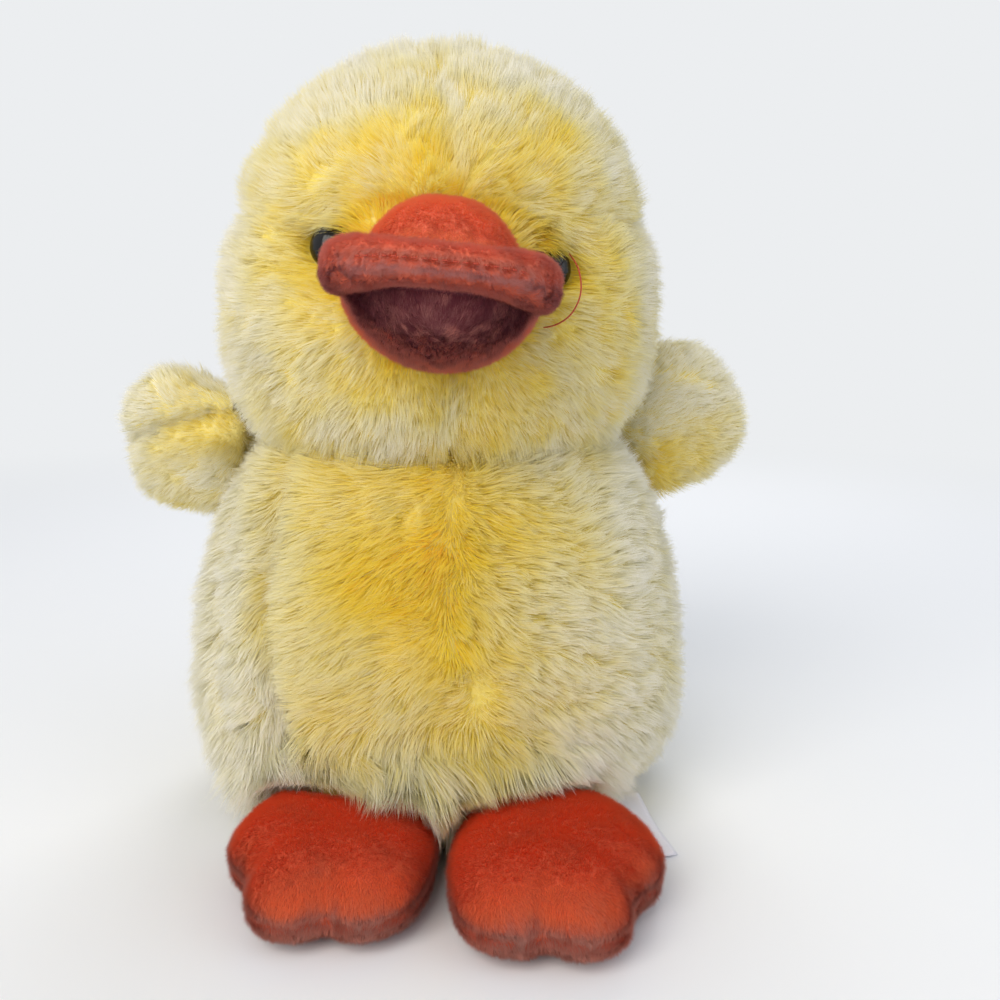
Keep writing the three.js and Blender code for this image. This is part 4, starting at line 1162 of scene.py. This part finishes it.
# Longer locks at the foot of the belly, which fan out over the feet
fringePile = {
    **longPile, "length": 24, "lean": (45, 78), "density": 5.5, "width": 0.17, "rows": 3, "taper": (0.9, 1.0, 0.8),
    "wave": 0.8,
    "locks": [
        {"spacing": 6, "pull": 0.28, "lean": 7, "swing": 16, "tone": 0.03},
        {"spacing": 2, "pull": 0.34, "lean": 4, "swing": 8, "tone": 0.04},
    ],
}
fringe = {"from": (-56, -100, 8), "to": (37, -22, 32)}  # the box that its roots lie in
roots, normals = scatter(
    trunkSkin, fringePile["density"], lambda p: ((p > fringe["from"]) & (p < fringe["to"])).all(1)
)
x, y, z = roots.T
fan = unit(np.column_stack([0.45 + 0.5 * combWander(roots), -1.2 + 0 * x, -0.7 + 0 * x]))
reach = 0.76 + 0.24 * bell(x + 12, 22) - 0.3 * smoothStep(22, fringe["to"][0], x)
coat = coatOf(roots, normals, fan, trunkTone(roots) + 0.05, length=reach)
growPile("belly_fringe", coat, fringePile, lift=overFeet)

tail = {
    "length": 44, "width": 40, "over": 11, "under": 11, "height": 30, "rise": 32, "inside": 18, "fullness": 2.2,
    "columns": 90, "rows": 44, "inset": wingSkinDepth, "groove": 1.2, "grooveReach": 2, "fill": 0.7,
    "outline": [(0, 0), (0, 0.4), (0.3, 0.5), (0.7, 0.34), (1, 0), (0.7, -0.34), (0.3, -0.5), (0, -0.4)],
}
turn = turnMatrix(0, -tail["rise"], 90)
place = np.array([0, body["backDepth"] - tail["inside"], tail["height"]])
tailSkin = moveSkin(pillowSkin(tail, pieceOutline(tail), np.array([tail["length"] / 2, 0])), turn, place)
coreObject("tail_backing", tailSkin, wingPile, "tail_stuffing", wingUndercoat)
roots, normals = scatter(tailSkin, longPile["density"], lambda p: p[:, 1] > body["backDepth"] - skinDepth - 3)
local = (roots - place) @ turn
comb = flatten(np.array([1.0, 0, 0]) @ turn.T + [0, 0, -0.5] + 0 * roots, normals)
coat = coatOf(roots, normals, comb, 0.84 + 0.14 * smoothStep(15, 40, local[:, 0]), length=1.1, lean=-4)
growPanels(coat, {"tail_top": local[:, 2] > 0, "tail_underside": local[:, 2] <= 0}, wingPile)
print("tail made")

# Care labels are woven nylon satin, cool white with fine ribs across; this one is bare
label = {
    "width": 11, "length": 30, "thickness": 0.3, "lean": 80, "turn": 9, "curl": 1.4, "skew": 0.02, "floor": 0.35,
    "rows": 24, "columns": 8,
}
satin = patternMaterial(
    "wovenNylonSatinWhite", "#e9e6ee", 0.45, 1.53,
    ("TexWave", {"Scale": 1300, "Distortion": 0.4, "bands_direction": "X"}), [(0.0, "#dedbe6"), (1.0, "#f3f1f6")],
    (0.25, 0.0001), Sheen_Weight=0.2,
)
across = np.linspace(-0.5, 0.5, label["columns"] + 1) * label["width"]
down = np.linspace(0, 1, label["rows"] + 1) * label["length"]
grid = np.stack(np.meshgrid(across, down), -1)
bend = label["curl"] * np.sin(grid[..., 1] / label["length"] * math.pi) ** 2 + label["skew"] * grid[..., 0]
front = np.stack([grid[..., 0], bend - label["thickness"], -grid[..., 1]], -1)
back = front + [0, label["thickness"], 0]
rings = np.concatenate([front, back[:, ::-1]], axis=1)
skin = ringSkin(rings[::-1], rings[-1].mean(0), rings[0].mean(0))
moveSkin(skin, turnMatrix(-label["lean"], 0, label["turn"]), pivotOf("label")[0])
skin["points"][:, 2] = np.maximum(skin["points"][:, 2], label["floor"])
made = skinObject("care_label_ribbon", skin, satin, "label")
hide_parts("care_label")

# The loose thread runs from the corner of the mouth to the eye
thread = {
    "diameter": 0.4,
    "route": [
        (24.6, -54.2, 144.3), (25.7, -55.4, 144.5), (27.0, -56.5, 144.9), (28.4, -57.5, 145.6),
        (29.8, -58.3, 146.6), (31.0, -58.8, 147.9), (32.0, -59.1, 149.5), (32.8, -59.1, 151.3),
        (33.3, -58.7, 153.2), (33.5, -57.9, 155.1), (33.5, -56.7, 156.9), (33.4, -55.1, 158.6),
        (33.2, -53.2, 160.0), (32.9, -51.1, 161.2), (32.6, -48.9, 162.2), (32.3, -46.9, 163.1),
    ],
}
line = openCurve(thread["route"], 90) * mm
curve = bpy.data.curves.new("loose_thread_end", "CURVE")
curve.dimensions = "3D"
curve.bevel_depth = thread["diameter"] / 2 * mm
curve.bevel_resolution = 3
curve.use_fill_caps = True
spline = curve.splines.new("POLY")
spline.points.add(len(line) - 1)
spline.points.foreach_set("co", np.column_stack([line, np.ones(len(line))]).ravel())
looseThread = bpy.data.objects.new("loose_thread_end", curve)
bpy.context.scene.collection.objects.link(looseThread)
curve.materials.append(threadRed)
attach(looseThread, "torso")
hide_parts("loose_thread")

# Washers behind the cloth, moulded polypropylene: waxy white
washerWhite = patternMaterial(
    "mouldedPolypropyleneWhite", "#e6e6e2", 0.45, 1.49, ("TexNoise", {"Scale": 400, "Detail": 3}),
    [(0.3, "#dcdcd6"), (0.7, "#eeeeea")], placed=False,
)
for name in ("eye_washer_left", "eye_washer_right"):
    frame["nodes"][name].data.materials.clear()
    frame["nodes"][name].data.materials.append(washerWhite)


# 1 where a ray sees the backdrop, from the camera or in a reflection, and 0 where it only gives light
def seenDirectly(tree):
    rays = addNode(tree, "LightPath").outputs
    links = {0: rays["Is Camera Ray"], 1: rays["Is Glossy Ray"]}
    return addNode(tree, "Math", {"operation": "MAXIMUM"}, links).outputs["Value"]


# Shows the plain background instead of the lit shader, by that share
def addBackdrop(tree, kind, outputName, share, lit):
    plain = addNode(tree, kind, {"Color": linear(backdrop["colour"]), "Strength": 1.0})
    both = addNode(tree, "MixShader", links={"Fac": share, 1: lit, 2: plain.outputs[0]})
    tree.links.new(both.outputs["Shader"], tree.nodes[outputName].inputs["Surface"])


# Floor and light: matt paper, which runs out into the plain background away from the duck
backdrop = {"colour": "#eceef0", "fadeFrom": 0.35, "fadeTo": 0.95, "floorSize": 8, "sky": "#eef3fa", "skyLight": 0.52}
floorPaper, tree, shader = newMaterial("paperFloor", "#f0f1f3", 0.9)
place = addNode(tree, "TexCoord")
middle = addNode(tree, "VectorMath", {"operation": "LENGTH"}, {"Vector": place.outputs["Object"]})
fade = addNode(
    tree, "MapRange",
    {"interpolation_type": "SMOOTHSTEP", "From Min": backdrop["fadeFrom"], "From Max": backdrop["fadeTo"]},
    {"Value": middle.outputs["Value"]},
)
share = addNode(tree, "Math", {"operation": "MULTIPLY"}, {0: seenDirectly(tree), 1: fade.outputs["Result"]})
addBackdrop(tree, "Emission", "Material Output", share.outputs["Value"], shader.outputs["BSDF"])
bpy.ops.mesh.primitive_plane_add(size=backdrop["floorSize"])
floor = bpy.context.object
floor.name = "floor"
floor.data.materials.append(floorPaper)

world = bpy.data.worlds.new("studio")
bpy.context.scene.world = world
world.use_nodes = True
tree = world.node_tree
sky = tree.nodes["Background"]
sky.inputs["Color"].default_value = linear(backdrop["sky"])
sky.inputs["Strength"].default_value = backdrop["skyLight"]
addBackdrop(tree, "Background", "World Output", seenDirectly(tree), sky.outputs["Background"])

lamps = {
    "keyLamp": {"place": (-0.5, -0.75, 0.7), "size": 0.8, "power": 8.5, "colour": "#fffaf2"},
    "fillLamp": {"place": (0.7, -0.45, 0.45), "size": 0.8, "power": 1.6, "colour": "#f2f6ff"},
    "backLamp": {"place": (0.2, 0.8, 0.7), "size": 0.6, "power": 3.5, "colour": "#ffffff"},
}
lampAim = Vector((0, 0, 0.1))
for name, lamp in lamps.items():
    data = bpy.data.lights.new(name, "AREA")
    data.size = lamp["size"]
    data.energy = lamp["power"]
    data.color = linear(lamp["colour"])[:3]
    made = bpy.data.objects.new(name, data)
    made.location = lamp["place"]
    made.rotation_euler = (lampAim - Vector(lamp["place"])).to_track_quat("-Z", "Y").to_euler()
    bpy.context.scene.collection.objects.link(made)

print("scene made")
